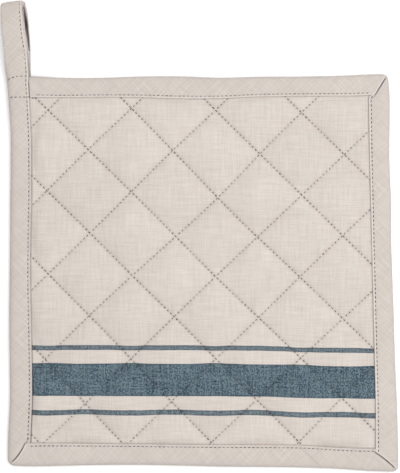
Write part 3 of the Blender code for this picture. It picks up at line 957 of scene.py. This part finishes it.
def lay_strip(side, start, end):
    """Edges of one side's strip. Each end is a corner's name, or a plain cut as (outer, inner)."""
    axis = 0 if side in ("top", "bottom") else 1
    sign = SIDES[side][3]
    ends = []
    for place in (start, end):
        if isinstance(place, str):
            outer_end, inner_end = (corner(place, line)[axis] for line in ("outer", "inner"))
            ends.append((outer_end, inner_end, CORNER_RADIUS[place]))
        else:
            ends.append((*place, 0.0))
    way = np.sign(ends[1][0] - ends[0][0])
    first = ends[0][0] + way * ARC_MIDDLE * ends[0][2]
    length = abs(ends[1][0] - ends[0][0]) - ARC_MIDDLE * (ends[0][2] + ends[1][2])
    count = round((length - 2 * FIRST_EVEN_ROW) / STRIP_STEP) + 1
    middle = np.linspace(FIRST_EVEN_ROW, length - FIRST_EVEN_ROW, count)
    distance = np.concatenate((END_ROWS, middle, length - END_ROWS[::-1]))
    along = first + way * distance
    fall = np.zeros(len(along))
    reach = np.zeros(len(along))
    inner_along = along.copy()
    bow = np.zeros((len(along), 2))
    draws = []
    for place, (outer_end, inner_end, radius), inward in zip((start, end), ends, (way, -way)):
        off = abs(along - outer_end)
        fall += corner_inset(off, radius)
        from_end = off - ARC_MIDDLE * radius
        turn = np.clip(1.0 - from_end / MITRE_REACH, 0.0, 1.0) ** 2
        inner_along += (inner_end - (outer_end + inward * ARC_MIDDLE * radius)) * turn
        if place in MITRE_ENDS:
            reach += inward * MITRE_GAP * turn
            on_top = place == end
            fade = np.clip(1.0 - from_end / (OVER_REACH if on_top else UNDER_REACH), 0.0, 1.0) ** 2
            draws.append((fade[:, None] * (MITRE_ENDS[place] - corner(place, "inner")), on_top))
            bow += fade[:, None] * MITRE_BOWS[place]
    across = (edge(side, along, "outer") - sign * fall, edge(side, inner_along, "inner"))
    runs = (along + reach, inner_along + reach)
    flat = [np.stack((r, a) if axis == 0 else (a, r), axis=1) for r, a in zip(runs, across)]
    top = np.full((len(along), 1), TOP_HEIGHT)
    return {
        "outer": np.concatenate((flat[0], top), axis=1),
        "inner": np.concatenate((flat[1], top), axis=1),
        "up": np.tile((0.0, 0.0, 1.0), (len(along), 1)),
        "draws": draws,
        "bow": bow,
        "closed": np.zeros(len(along)),
        "distance": distance,
        "length": length,
        "lifted": True,
    }


# %% Points on a strip
UNDER_TURN = 0.94  # share of the width from which the strip below turns back
FOLDED_END = 0.55  # radius of a strip's folded end, mm
UPPER_FLAP, LOWER_FLAP = -1.2, -4.0  # above the first and below the second height are the flaps
UPPER_MIDDLE, LOWER_MIDDLE = -0.5, -4.7  # the heights of their middles


def on_strip(strip, share, height):
    """Points on a strip: outer edge + share x way to the inner one + what the mitres draw + height."""
    shape = (len(strip["outer"]), np.shape(share)[-1])
    share = np.broadcast_to(share, shape)
    height = np.broadcast_to(height, shape)
    way = (strip["inner"] - strip["outer"])[:, None]
    points = strip["outer"][:, None] + way * share[..., None] + strip["up"][:, None] * height[..., None]
    for draw, on_top in strip["draws"]:
        drawn = share if on_top else np.interp(share, (0.0, UNDER_TURN, 1.0), (0.0, UNDER_TURN, 0.0))
        points[..., :2] += draw[:, None] * drawn[..., None]
    points[..., :2] += strip["bow"][:, None] * (4.0 * share * (1.0 - share))[..., None]
    if strip["lifted"]:
        points[..., 2] += lift(points[..., 0], points[..., 1])
    return points


def round_end(height, from_end):
    """Fold a strip's end: each flap thins to nothing along a quarter circle as it reaches the mitre."""
    left = np.clip(1.0 - from_end / FOLDED_END, 0.0, 1.0)
    full = np.sqrt(1.0 - left ** 2)
    middle = np.where(height > UPPER_FLAP, UPPER_MIDDLE, LOWER_MIDDLE)
    flaps = (height > UPPER_FLAP) | (height < LOWER_FLAP)
    return np.where(flaps, middle + (height - middle) * full[:, None], height)


# %% Dark lines of painted shade, and painted highlights on ridges
FAR = 90.0  # a distance that stands for nowhere near, mm
MITRE_FADE = 0.14  # share of a mitre, from its outer corner, that shows no line
MITRE_RIDGE_OFF = 0.65  # from the mitre's line to the painted highlight on the fold beside it, mm
# how strong the painted highlight is on the fold beside a mitre
MITRE_HIGHLIGHT = 0.5
RIDGE_ABOVE = -1.3  # below this height no part of a strip shows its ridge or the ridge's painted highlight


def line_distance(points, start, end):
    """Distance on the plan from the line between two points: signed beside it, and round its ends."""
    way = np.subtract(end, start)
    length = np.linalg.norm(way)
    way = way / length
    off = points[..., :2] - np.array(start)
    beside = off[..., 0] * way[1] - off[..., 1] * way[0]
    run = off @ way
    beyond = run - np.clip(run, 0.0, length)
    return np.where(beside < 0.0, -1.0, 1.0) * np.hypot(beside, beyond)


def mitre_distance(points, place):
    """Distance from a mitre's line: its bow is taken out, and it starts short of the corner."""
    level, upright = place.split()
    signs = np.array((SIDES[upright][3], SIDES[level][3]))
    outer = corner(place, "outer") - signs * CORNER_RADIUS[place] * ARC_MIDDLE
    way = MITRE_ENDS[place] - outer
    share = np.clip((points[..., :2] - outer) @ way / (way @ way), 0.0, 1.0)
    bow = (4.0 * share * (1.0 - share))[..., None] * MITRE_BOWS[place]
    return line_distance(points[..., :2] - bow, outer + way * MITRE_FADE, MITRE_ENDS[place])


def nearest_line(points, lines):
    """Distance from the nearest of some lines of painted shade, each a distance and a depth, and its depth.
    """
    off = np.full(points.shape[:-1], FAR)
    depth = np.zeros(points.shape[:-1])
    for away, dark in lines:
        nearer = np.abs(away) < np.abs(off)
        depth = np.where(nearer, dark, depth)
        off = np.where(nearer, away, off)
    return off, depth


def ridge_and_highlight(rows, height, closed, ridge_highlight, mitre_off):
    """Distance from the ridge beside the seam, or from a mitre's fold if that is nearer; the strength of
    its painted highlight.
    """
    off = (rows[:, 0] - SEAM_IN) * (1 - closed) + (rows[:, 2] - STRAP_SEAM_IN) * closed
    off = np.where(height > RIDGE_ABOVE, off - RIDGE_OFF, FAR)
    highlight_share = np.broadcast_to(ridge_highlight, off.shape)
    if mitre_off is not None:
        beside = np.abs(mitre_off) - MITRE_RIDGE_OFF
        nearer = np.abs(beside) < np.abs(off)
        highlight_share = np.where(nearer, MITRE_HIGHLIGHT, highlight_share)
        off = np.where(nearer, beside, off)
    return off, highlight_share


# %% A whole strip
MITRE_DEPTH = 0.76  # how dark the painted shade on a mitre's line is
UPPER_FROM, UPPER_TO = -1.6, -0.8  # heights between which the outer fold becomes upper face
TUCK_REACH = 2.5  # how far back from an end it rides up, mm
SHARP_ANGLE = math.radians(60)


def make_strip(name, strip, tucks, mitres, ridge_highlight, joins=()):
    """The strip's closed surface, with values that the material reads.

    tucks says for each end how much it rides up (or, below 0, is tucked down), mm. mitres names the
    corners of its ends, the one where it lies on top last. ridge_highlight is how strong the painted
    highlight on its ridge is, from 0 to 1. joins lists other lines of painted shade: a function of the
    points that gives the distance, and how dark it is.
    """
    rows = fine_rows(SECTION)
    closed = strip["closed"][:, None]
    share = rows[:, 0] / BINDING_WIDTH * (1 - closed) + rows[:, 2] / STRAP_WIDTH * closed
    height = rows[:, 1] * (1 - closed) + rows[:, 3] * closed
    ends = (strip["distance"], strip["length"] - strip["distance"])
    for tuck, from_end in zip(tucks, ends):
        if tuck:
            height = round_end(height, from_end)
    upper = np.clip((height - UPPER_FROM) / (UPPER_TO - UPPER_FROM), 0.0, 1.0)
    for tuck, from_end in zip(tucks, ends):
        height = height + tuck * upper * np.exp(-from_end / TUCK_REACH)[:, None]
    u = np.broadcast_to(strip["distance"][:, None], share.shape)
    v = np.broadcast_to(developed(rows[:, :2], 2 * FOLD_ROW), share.shape)
    height = height + upper * slack(u, v)
    points = on_strip(strip, share, height) + strip.get("curl", 0.0)
    points[..., 2] = np.maximum(points[..., 2], 0.0)
    flat = points.reshape(-1, 3)
    dark = [(mitre_distance(points, place), MITRE_DEPTH) for place in mitres]
    join_off, join_shade = nearest_line(points, dark + [(line(points), depth) for line, depth in joins])
    mitre_off = dark[-1][0] if tucks[1] > 0.0 else None
    ridge_off, highlight_share = ridge_and_highlight(rows, height, closed, ridge_highlight, mitre_off)
    values = {
        "ridge": ridge_off,
        "ridge_highlight": highlight_share,
        "join": join_off,
        "join_shade": join_shade,
        "seam_off": ridge_off + RIDGE_OFF,
    }
    cloth_map = np.stack((u, v), axis=-1).reshape(-1, 2)
    piece = cloth_piece(name, flat, tube_faces(flat, *share.shape), (linen_strip,), cloth_map, values)
    piece.data.set_sharp_from_angle(angle=SHARP_ANGLE)
    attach(piece, "root")
    return piece


# %% [markdown]
# ### Three plain sides
# The right, bottom and top strips are laid corner to corner. At each mitre one strip's folded
# end rides over the next: the top over the right, the right over the bottom, and the bottom
# over the left. The bottom strip has one slanting join, where two lengths were sewn together.

# %% Top, right and bottom
OVER = 0.22  # how much the strip on top rides up at a mitre, mm
UNDER = -0.12  # and the one below it
PIECE_GAP = 0.3
# how strong the painted highlight is on each strip's ridge
BINDING_HIGHLIGHT = {"top": 0.30, "right": 0.40, "bottom": 0.10}
CUT_DEPTH = 0.45  # how dark the painted shade line is where the top strip starts
JOIN_DEPTH = 0.14  # and the bottom strip's slanting join
JOIN_ENDS = ((53.0, -109.8), (61.8, -118.3))  # that join's two ends on the plan, mm

CUT_HEIGHTS = (corner("top left", "outer")[1], corner("top left", "inner")[1])
TOP_CUT = tuple(edge("left", height, "inner") + PIECE_GAP for height in CUT_HEIGHTS)
strips = {
    "top": lay_strip("top", TOP_CUT, "top right"),
    "right": lay_strip("right", "top right", "bottom right"),
    "bottom": lay_strip("bottom", "bottom right", "bottom left"),
}
cut_line = np.stack((TOP_CUT, CUT_HEIGHTS), axis=1)
TUCKS = {"top": (0.0, OVER), "right": (UNDER, OVER), "bottom": (UNDER, OVER)}
MITRES = {
    "top": ("top right",),
    "right": ("top right", "bottom right"),
    "bottom": ("bottom right", "bottom left"),
}
JOINS = {
    "top": [(lambda points: line_distance(points, *cut_line), CUT_DEPTH)],
    "right": [],
    "bottom": [(lambda points: line_distance(points, *JOIN_ENDS), JOIN_DEPTH)],
}
around = np.diff(SECTION[:, :2], axis=0, append=SECTION[:1, :2])
sheet_width = np.linalg.norm(around, axis=1).sum() / 2 * MM
for side in ("top", "right", "bottom"):
    piece = make_strip(
        f"linen_binding_{side}", strips[side], TUCKS[side], MITRES[side], BINDING_HIGHLIGHT[side], JOINS[side],
    )
    length = strips[side]["length"] * MM
    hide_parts(f"binding_{side}")
    print(f"{side} strip: cut {sheet_width * 1000:.0f} by {length * 1000:.0f} mm")

# %% [markdown]
# ### The left side and the loop
# The left strip is one length of cloth from the bottom corner to the end of the loop. Past the
# top corner the C closes into a flat folded strap. It stands out above the corner, turns over
# and is tacked down behind. The path below is followed as two edges, and the section changes
# from the first shape to the second on the way.

# %% The path of the loop
# Columns: y, x of the strap's middle, height of its middle, lean in degrees; mm.
LOOP_ROWS = np.array((
    (82.5, -94.0, 6.3, 3.0), (88.0, -94.4, 6.5, 4.0), (98.0, -95.0, 7.3, 4.5),
    (108.0, -96.0, 7.7, 5.5), (115.0, -96.5, 7.3, 7.0), (119.0, -96.7, 6.0, 8.0),
    (120.4, -96.5, 4.2, 8.5), (119.0, -95.8, 2.3, 8.0), (115.0, -94.8, 1.1, 7.0),
    (108.0, -94.0, 0.8, 5.0), (98.0, -93.7, 0.8, 3.0), (85.0, -93.6, 0.8, 2.0),
    (70.7, -92.9, 0.8, 1.0),
))
STRAP_THICKNESS = 1.6
ABOVE_GROUND = 0.02  # the loop's back leg stays this far above the surface, mm
LOOP_STATIONS = 190
FRONT_ROWS = 5.0  # the loop rows before this one are the front leg
BULGE = 0.9  # how much wider the front leg is just above the corner, mm
BULGE_HEIGHT = 92.0
BULGE_REACH = 6.5


def loop_edges():
    """The loop's two edges, its upward direction and its running count, row by row.

    Each edge is the middle of the strap plus or less half its width, along a leaning direction.
    """
    steps = np.arange(len(LOOP_ROWS), dtype=float)
    t = np.linspace(0.0, steps[-1], LOOP_STATIONS)
    y, x, z, lean = (smooth_rows(t, steps, LOOP_ROWS[:, i]) for i in range(4))
    z = np.maximum(z, STRAP_THICKNESS / 2 + ABOVE_GROUND)
    path = np.stack((x, y, z), axis=1)
    tangent = np.gradient(path, axis=0)
    tangent[0] = (0.0, 1.0, 0.0)
    tangent[-1] = (0.0, -1.0, 0.0)
    lean = np.radians(lean)
    side = np.stack((np.cos(lean), np.sin(lean), np.zeros(len(t))), axis=1)
    up = np.cross(side, tangent)
    up /= np.linalg.norm(up, axis=1, keepdims=True)
    top = path + up * STRAP_THICKNESS / 2
    bulge = BULGE * np.exp(-((y - BULGE_HEIGHT) / BULGE_REACH) ** 2)
    wider = np.where(t < FRONT_ROWS, bulge, 0.0)
    inner = top + side * (STRAP_WIDTH / 2 + wider)[:, None]
    return top - side * STRAP_WIDTH / 2, inner, up, t


print("rows of the loop:", len(loop_edges()[0]))

# %% The side and the loop as one strip
LEFT_STOP = 1.5  # the left strip's rows end this far below the corner, mm
CLOSING = (82.5, 92.0)  # heights between which the C closes
RISING_SHARE = 0.45  # the share of the loop's rows on its front leg
BACK_STARTS = (6.3, 7.5)  # between which loop rows the back leg's curl sets in
BACK_ENDS = (10.2, 9.2)  # and between which it fades
SMOOTHED_BELOW, SMOOTHED_ABOVE = 14, 12  # rows on each side of the corner that are smoothed
SMOOTHING = np.full(7, 1 / 7)  # each as the mean of seven


def lay_left():
    """The left strip up to the corner, then the loop's path, with the rows between them smoothed."""
    cut = CUT_HEIGHTS[0]
    strip = lay_strip("left", "bottom left", (cut, cut))
    keep = strip["outer"][:, 1] < cut - LEFT_STOP
    below = keep.sum()
    loop_outer, loop_inner, up, t = loop_edges()
    outer = np.concatenate((strip["outer"][keep], loop_outer))
    inner = np.concatenate((strip["inner"][keep], loop_inner))
    near = slice(below - SMOOTHED_BELOW, below + SMOOTHED_ABOVE)
    for line in (outer, inner):
        line[:below, 2] += lift(line[:below, 0], line[:below, 1])
        for axis in (0, 2):
            padded = np.pad(line[near, axis], len(SMOOTHING) // 2, mode="edge")
            line[near, axis] = np.convolve(padded, SMOOTHING, mode="valid")
    distance = path_run((outer + inner) / 2)
    closed = np.concatenate((np.zeros(below), np.ones(len(t))))
    rising = np.arange(len(outer)) < below + LOOP_STATIONS * RISING_SHARE
    closed = np.where(rising, ramp((outer[:, 1] + inner[:, 1]) / 2, *CLOSING), closed)
    none = np.zeros((len(t), 2))
    back = ramp(t, *BACK_STARTS) * ramp(t, *BACK_ENDS)
    return {
        "outer": outer,
        "inner": inner,
        "up": np.concatenate((strip["up"][keep], up)),
        "draws": [(np.concatenate((draw[keep], none)), on_top) for draw, on_top in strip["draws"]],
        "bow": np.concatenate((strip["bow"][keep], none)),
        "closed": closed,
        "distance": distance,
        "length": distance[-1],
        "lifted": False,
        "back": np.concatenate((np.zeros(below), back)),
    }


# %% The curled edge and the painted shadow in the gap
CURL = 5.0  # how far the back leg's free edge curls up, mm
CURL_FROM, CURL_TO = 0.66, 0.90  # where across the strip it curls, as shares of its width


def free_edge_curl(strip, share):
    """The back leg's free edge curls up: the height grows softly over the last part of the width."""
    rise = CURL * strip["back"][:, None] * ramp(share, CURL_FROM, CURL_TO)
    return np.stack((np.zeros_like(rise), np.zeros_like(rise), rise), axis=-1)


# The painted shadow in the gap between the loop's two legs. Columns: y, x of its middle, half of its width,
# mm.
WEDGE = np.array((
    (95.0, -88.3, -0.4), (97.4, -88.4, -0.1), (102.5, -88.7, 0.3), (105.9, -89.0, 0.45),
    (110.3, -89.5, 0.55), (115.4, -90.3, 0.45), (117.8, -90.6, 0.28), (120.3, -90.9, -0.35),
))
UNDERSIDE_BELOW = -1.0  # the flat loop's underside is below this, mm
WEDGE_SHOWS = -0.25  # the painted shadow is drawn where its half width is above this, mm


def wedge_distance(points):
    """Distance beyond the painted shadow's half width, where seen from above: the back leg lies face down.
    """
    x = smooth_rows(points[..., 1], WEDGE[:, 0], WEDGE[:, 1])
    half = smooth_rows(points[..., 1], WEDGE[:, 0], WEDGE[:, 2])
    off = np.maximum(np.abs(points[..., 0] - x) - half, 0.0)
    underside = fine_rows(SECTION)[None, :, 3] < UNDERSIDE_BELOW
    seen = underside == (strips["left"]["back"][:, None] > 0.0)
    return np.where(seen & (half > WEDGE_SHOWS), off, FAR)


# %% Left binding and loop
# how dark the painted shadow in the loop's gap is
WEDGE_DEPTH = 1.0
ROOT_ENDS = ((-88.5, 94.5), (-88.0, 82.5))  # the painted shade line down the loop's root, on the plan, mm
ROOT_DEPTH = 0.36
LOOP_HIGHLIGHT = 0.42  # how strong the painted highlight on the ridge is by the loop, and the heights
HIGHLIGHT_FROM, HIGHLIGHT_TO = 30.0, 80.0  # between which it gets so, mm

strips["left"] = lay_left()
strips["left"]["curl"] = free_edge_curl(strips["left"], fine_rows(SECTION)[None, :, 2] / STRAP_WIDTH)
binding_left = make_strip(
    "linen_binding_left_and_loop",
    strips["left"],
    (UNDER, 0.0),
    ("bottom left",),
    LOOP_HIGHLIGHT * ramp(strips["left"]["outer"][:, 1:2], HIGHLIGHT_FROM, HIGHLIGHT_TO),
    [
        (wedge_distance, WEDGE_DEPTH),
        (lambda points: line_distance(points, *ROOT_ENDS), ROOT_DEPTH),
    ],
)
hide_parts("binding_left", "hanging_loop")
left_length = strips["left"]["length"] * MM
print(f"left strip and loop: cut {sheet_width * 1000:.0f} by {left_length * 1000:.0f} mm")

# %% [markdown]
# ## The stitches
# A seam reads as thread only if each stitch is a thing of its own, with a gap before the next.
# A stitch is a short round rod that dives into the cloth at both ends. All the stitches of a
# seam are made at once: one small rod, repeated as arrays along the seam's path.

# %% One stitch, many times
STITCH_LENGTH = 1.35
THREAD_RADIUS = 0.20
ROD_SIDES = 6
# The rod. Columns: place along it and radius, as shares, and height of its middle in radii.
ROD = np.array((
    (-1.00, 0.30, -0.9), (-0.80, 0.85, -0.2), (-0.30, 1.00, 0.1),
    (0.30, 1.00, 0.1), (0.80, 0.85, -0.2), (1.00, 0.30, -0.9),
))
SLANT = 0.07  # spread of the stitches' direction, as a slope
LENGTH_SPREAD = 0.07  # of their length, as a share of it
RADIUS_SPREAD = 0.13
TINT_SPREAD = 0.30
TWISTS = 3.0  # turns of the thread along half a stitch
LOOK_AHEAD = 0.4  # a path's direction is read this far ahead and behind, mm


def even_places(path):
    """Places along a path, a stitch apart, and the direction there, read off the path's length."""
    run = path_run(path)
    s = np.arange(STITCH_PITCH / 2, run[-1], STITCH_PITCH)
    at, ahead, behind = (
        np.stack([np.interp(s + shift, run, path[:, i]) for i in range(3)], axis=1)
        for shift in (0.0, LOOK_AHEAD, -LOOK_AHEAD)
    )
    way = ahead - behind
    return at, way / np.linalg.norm(way, axis=1, keepdims=True)


def sew(name, places, ways, facing, size=1.0, paleness=0.5):
    """Rods along the ways at the places, on cloth that faces upwards (1) or downwards (-1).

    A point of a rod is its middle + way x length + side x cosine x radius + up x sine x radius.
    """
    count = len(places)
    side = np.cross(ways, (0.0, 0.0, facing))
    side /= np.linalg.norm(side, axis=1, keepdims=True)
    up = np.cross(side, ways)[:, None]
    ways = ways + side * rng.normal(0.0, SLANT, count)[:, None]
    long = STITCH_LENGTH / 2 * rng.normal(1.0, LENGTH_SPREAD, count)[:, None, None]
    thick = THREAD_RADIUS * (size * rng.normal(1.0, RADIUS_SPREAD, count))[:, None, None]
    turn = np.arange(ROD_SIDES) * math.tau / ROD_SIDES
    place, radius, rise = ROD.T[:, None, :, None]
    centre = places[:, None] + ways[:, None] * place * long + up * rise * thick
    ring = side[:, None] * np.cos(turn)[:, None] + up * np.sin(turn)[:, None]
    points = centre[:, :, None] + ring[:, None] * (radius * thick)[..., None]
    flat = points.reshape(-1, 3)
    rings = len(ROD)
    one = rings * ROD_SIDES
    one_faces = tube_faces(flat[:one], rings, ROD_SIDES)
    faces = [[i + n * one for i in face] for n in range(count) for face in one_faces]
    tint = np.repeat(np.clip(paleness + rng.normal(0.0, TINT_SPREAD, count), 0.0, 1.0), one)
    twist = np.broadcast_to(place * TWISTS + turn / math.tau, (count, rings, ROD_SIDES))
    piece = cloth_piece(name, flat, faces, (sewing_thread,), None, {"tint": tint, "twist": twist})
    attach(piece, "root")
    return piece


# %% The stitches of the quilting
SIDE_STITCHES = 66  # stitches from the middle of a quilting line to its ends
UNDER_BINDING = 0.6  # how far they run on under the binding, mm
COVERED = 0.45  # a rising stitch this near a falling line is left out, mm
SUNK = 0.05  # how far a stitch's middle lies outside the pressed cloth
# the falling lines' thread is painted darker, as shade, since the light comes from the upper right
FALL_PALENESS = 0.35
RISE_PALER = 0.4  # the rising lines' thread is painted paler, as it lies along the light and gets no shade
RISE_THINNER = 0.18  # and thinner
STRIPE_SHADED_PALENESS = 0.0  # in the blue yarns the thread gets its darkest tint: painted shade of a thread sunk deep


def quilt_seams(height, rise=0.0):
    """Stitch places of every line; a rising line skips the stitch that a falling one covers."""
    places, ways, rising = [], [], []
    for family, (angle, lines, strays) in enumerate(FAMILIES):
        along, across = line_directions(angle)
        for number, (position, tilt) in enumerate(lines):
            t = np.arange(-SIDE_STITCHES, SIDE_STITCHES + 1) * STITCH_PITCH
            plan = along * t[:, None] + across * (position + tilt * t)[:, None]
            other, _, _ = straight_count(plan[:, 0], plan[:, 1], 1 - family)
            plan = plan + across * stray(strays, float(number), other)[:, None]
            way = np.gradient(plan, axis=0)
            way /= np.linalg.norm(way, axis=1, keepdims=True)
            kept = border_distance(plan[:, 0], plan[:, 1]) > -UNDER_BINDING
            if family == 1:
                count, _ = line_count(plan[:, 0], plan[:, 1], 0)
                kept &= np.abs(count - np.round(count)) * SEAM_SPACING > COVERED
            plan, way = plan[kept], way[kept]
            rising.append(np.full(len(plan), float(family)))
            raised = lift(*plan.T) + rise * against_binding(*plan.T)
            places.append(np.column_stack((plan, height + raised)))
            ways.append(np.column_stack((way, np.zeros(len(way)))))
    return np.concatenate(places), np.concatenate(ways), np.concatenate(rising)


places, ways, rising = quilt_seams(PRESSED_TOP + SUNK, 1.0)
# painted shade on the thread: darker on the falling lines, darkest in the stripes
paleness = FALL_PALENESS + RISE_PALER * rising
cloth_height = places[:, 1] + smooth_rows(places[:, 0], CLOTH_DROP[:, 0], CLOTH_DROP[:, 1])
for low, high, _ in STRIPES:
    paleness = np.where((cloth_height > low) & (cloth_height < high), STRIPE_SHADED_PALENESS, paleness)
sew("quilting_stitches_face", places, ways, 1.0, 1.0 - RISE_THINNER * rising, paleness)
places, ways, rising = quilt_seams(PRESSED_UNDERSIDE - SUNK)
paleness = FALL_PALENESS + RISE_PALER * rising
sew("quilting_stitches_back", places, ways, -1.0, 1.0 - RISE_THINNER * rising, paleness)

# %% [markdown]
# ### The binding's seam and the tacks
# The same seam shows on the face and on the back of the binding. On the left it runs on up the
# loop, along the free edge. Two rows of tacks cross the left strip and hold the loop down. One
# more stitch of the lower row lies on the pad, where the first quilting line starts.

# %% Where the seam and the tacks run
FACE_SEAM_DEPTH = -0.14
BACK_SEAM_DEPTH = -4.95
# Where each strip's seam starts, and how far short of the strip's end it stops, mm.
SEAM_ENDS = {"top": (3.0, 3.0), "right": (2.0, 1.5), "bottom": (3.0, 5.0), "left": (1.0, 0.0)}
LOOP_TOP_HEIGHT = 5.5  # the loop's face is above this
SEAM_SIZES = {"top": 0.8, "right": 1.0, "bottom": 0.85, "left": 0.85}
SEAM_PALENESS = 0.7
# The seam's thread gets heavier and darker towards the left side's foot, between these places, mm.
HEAVY_ACROSS = (-70.0, -80.0)
HEAVY_DOWN = (-50.0, -90.0)
HEAVY_SIZE = 0.3
HEAVY_DARKER = 0.4
BACK_SEAM_SIZE = 0.8
BACK_SEAM_PALENESS = 0.75
# Columns: x, y of the tack rows, mm.
UPPER_TACK = np.array(((-98.9, 80.1), (-97.6, 81.1), (-95.0, 82.1), (-92.9, 82.4), (-90.0, 82.4)))
LOWER_TACK = np.array(((-98.0, 71.5), (-94.0, 71.6), (-90.0, 71.6), (-87.9, 71.7)))
PAD_TACK = np.array(((-87.0, 71.3), (-85.0, 71.0)))
TACK_RISE, PAD_TACK_RISE = 0.03, 0.35
# Each tack row: its plan, its height, its paleness.
TACKS = (
    (UPPER_TACK, TOP_HEIGHT + TACK_RISE, 1.0),
    (LOWER_TACK, TOP_HEIGHT + TACK_RISE, 0.6),
    (PAD_TACK, PRESSED_TOP + PAD_TACK_RISE, 0.6),
)
TACK_POINTS = 40


def seam_path(strip, depth):
    """The seam's line on a strip, at one depth below its top."""
    closed = strip["closed"][:, None]
    share = SEAM_IN / BINDING_WIDTH * (1 - closed) + STRAP_SEAM_IN / STRAP_WIDTH * closed
    return on_strip(strip, share, depth)[:, 0]


def tack_path(rows, height):
    """A tack row as points: the table's plan, followed closely, at a height above the lifted corner."""
    t = np.linspace(0.0, len(rows) - 1.0, TACK_POINTS)
    x, y = (smooth_rows(t, np.arange(len(rows), dtype=float), rows[:, i]) for i in range(2))
    return np.column_stack((x, y, height + lift(x, y)))


print("tacks rise", TACK_RISE, "mm above the binding")

# %% Sewing the binding and the tacks
face_seam, back_seam, thread_sizes = [], [], []
for side in ("top", "right", "bottom", "left"):
    strip = strips[side]
    path = seam_path(strip, FACE_SEAM_DEPTH)
    start, short = SEAM_ENDS[side]
    kept = (strip["distance"] > start) & (strip["length"] - strip["distance"] > short)
    back_seam.append(even_places(seam_path(strip, BACK_SEAM_DEPTH)[kept & (strip["closed"] == 0.0)]))
    if side == "left":
        lowest = np.where(strip["closed"] > 0.0, LOOP_TOP_HEIGHT, 0.0)
        kept &= (strip["back"] == 0.0) & (path[:, 2] > lowest)
    face_seam.append(even_places(path[kept]))
    thread_sizes.append(np.full(len(face_seam[-1][0]), SEAM_SIZES[side]))
at, way = (np.concatenate(rows) for rows in zip(*face_seam))
heavy = ramp(at[:, 0], *HEAVY_ACROSS) * ramp(at[:, 1], *HEAVY_DOWN)
size = np.concatenate(thread_sizes) + HEAVY_SIZE * heavy
sew("binding_stitches_face", at, way, 1.0, size, SEAM_PALENESS - HEAVY_DARKER * heavy)
at, way = (np.concatenate(rows) for rows in zip(*back_seam))
sew("binding_stitches_back", at, way, -1.0, BACK_SEAM_SIZE, BACK_SEAM_PALENESS)

tacks = [even_places(tack_path(rows, height)) for rows, height, _ in TACKS]
at, way = (np.concatenate(rows) for rows in zip(*tacks))
paleness = np.repeat([pale for _, _, pale in TACKS], [len(row[0]) for row in tacks])
sew("tack_stitches", at, way, 1.0, 1.0, paleness)

# %% [markdown]
# ## Stage, light and camera
# The photograph is a packshot: straight down on a white ground, in light so soft that the
# quilting barely shows. A pale even sky gives most of it, a large panel overhead adds some, and
# a weak lamp from the upper right gives the seams their one bright and one dark side.

# %% Ground and sky
FLOOR_REACH = 3.0  # from the middle to the floor's edges, m
FLOOR_HEIGHT = -0.0004
WORLD_STRENGTH = 0.505
floor_mesh = bpy.data.meshes.new("floor")
quarters = ((-1, -1), (1, -1), (1, 1), (-1, 1))
floor_corners = [(x * FLOOR_REACH, y * FLOOR_REACH, FLOOR_HEIGHT) for x, y in quarters]
floor_mesh.from_pydata(floor_corners, [], [(0, 1, 2, 3)])
floor = bpy.data.objects.new("floor", floor_mesh)
bpy.context.scene.collection.objects.link(floor)
floor_paint, _, floor_shader = new_material("white ground", roughness=0.95, sheen=0.0)
floor_shader.inputs["Base Color"].default_value = (0.90, 0.90, 0.90, 1.0)
floor_mesh.materials.append(floor_paint)

world = bpy.data.worlds.new("studio")
world.use_nodes = True
world.node_tree.nodes["Background"].inputs["Color"].default_value = (1.0, 1.0, 1.0, 1.0)
world.node_tree.nodes["Background"].inputs["Strength"].default_value = WORLD_STRENGTH
bpy.context.scene.world = world


print("sky:", WORLD_STRENGTH)

# %% Lamps
def panel(name, place, aim, size, power):
    """A square soft light at a place, facing the point that it is aimed at."""
    lamp = bpy.data.lights.new(name, "AREA")
    lamp.size = size
    lamp.energy = power
    stand = bpy.data.objects.new(name, lamp)
    bpy.context.scene.collection.objects.link(stand)
    way = np.subtract(aim, place)
    stand.location = place
    tilt = math.atan2(math.hypot(way[0], way[1]), -way[2])
    stand.rotation_euler = (tilt, 0.0, math.atan2(-way[0], way[1]))


panel("overhead panel", (0.17, 0.03, 0.93), (0.0, 0.0, 0.0), size=0.9, power=10.7)
panel("upper right lamp", (0.62, 0.60, 0.75), (0.0, 0.0, 0.0), size=0.5, power=0.8)

# %% Camera
PIXEL = 0.516  # mm on the pot holder for one pixel of the photograph
FRAME_HEIGHT = 473
LENS = 120.0
SENSOR = 36.0
CAMERA_X, CAMERA_Y = 0.00009, -0.00024  # the photograph's middle over the pot holder, m
FACE_HEIGHT = 0.005
camera_data = bpy.data.cameras.new("camera")
camera_data.lens = LENS
camera_data.sensor_fit = "VERTICAL"
camera_data.sensor_height = SENSOR
camera = bpy.data.objects.new("camera", camera_data)
bpy.context.scene.collection.objects.link(camera)
distance = LENS / SENSOR * FRAME_HEIGHT * PIXEL * MM
camera.location = (CAMERA_X, CAMERA_Y, FACE_HEIGHT + distance)
bpy.context.scene.camera = camera
bpy.context.scene.view_settings.view_transform = "Standard"
print("camera height", round(camera.location[2], 4))
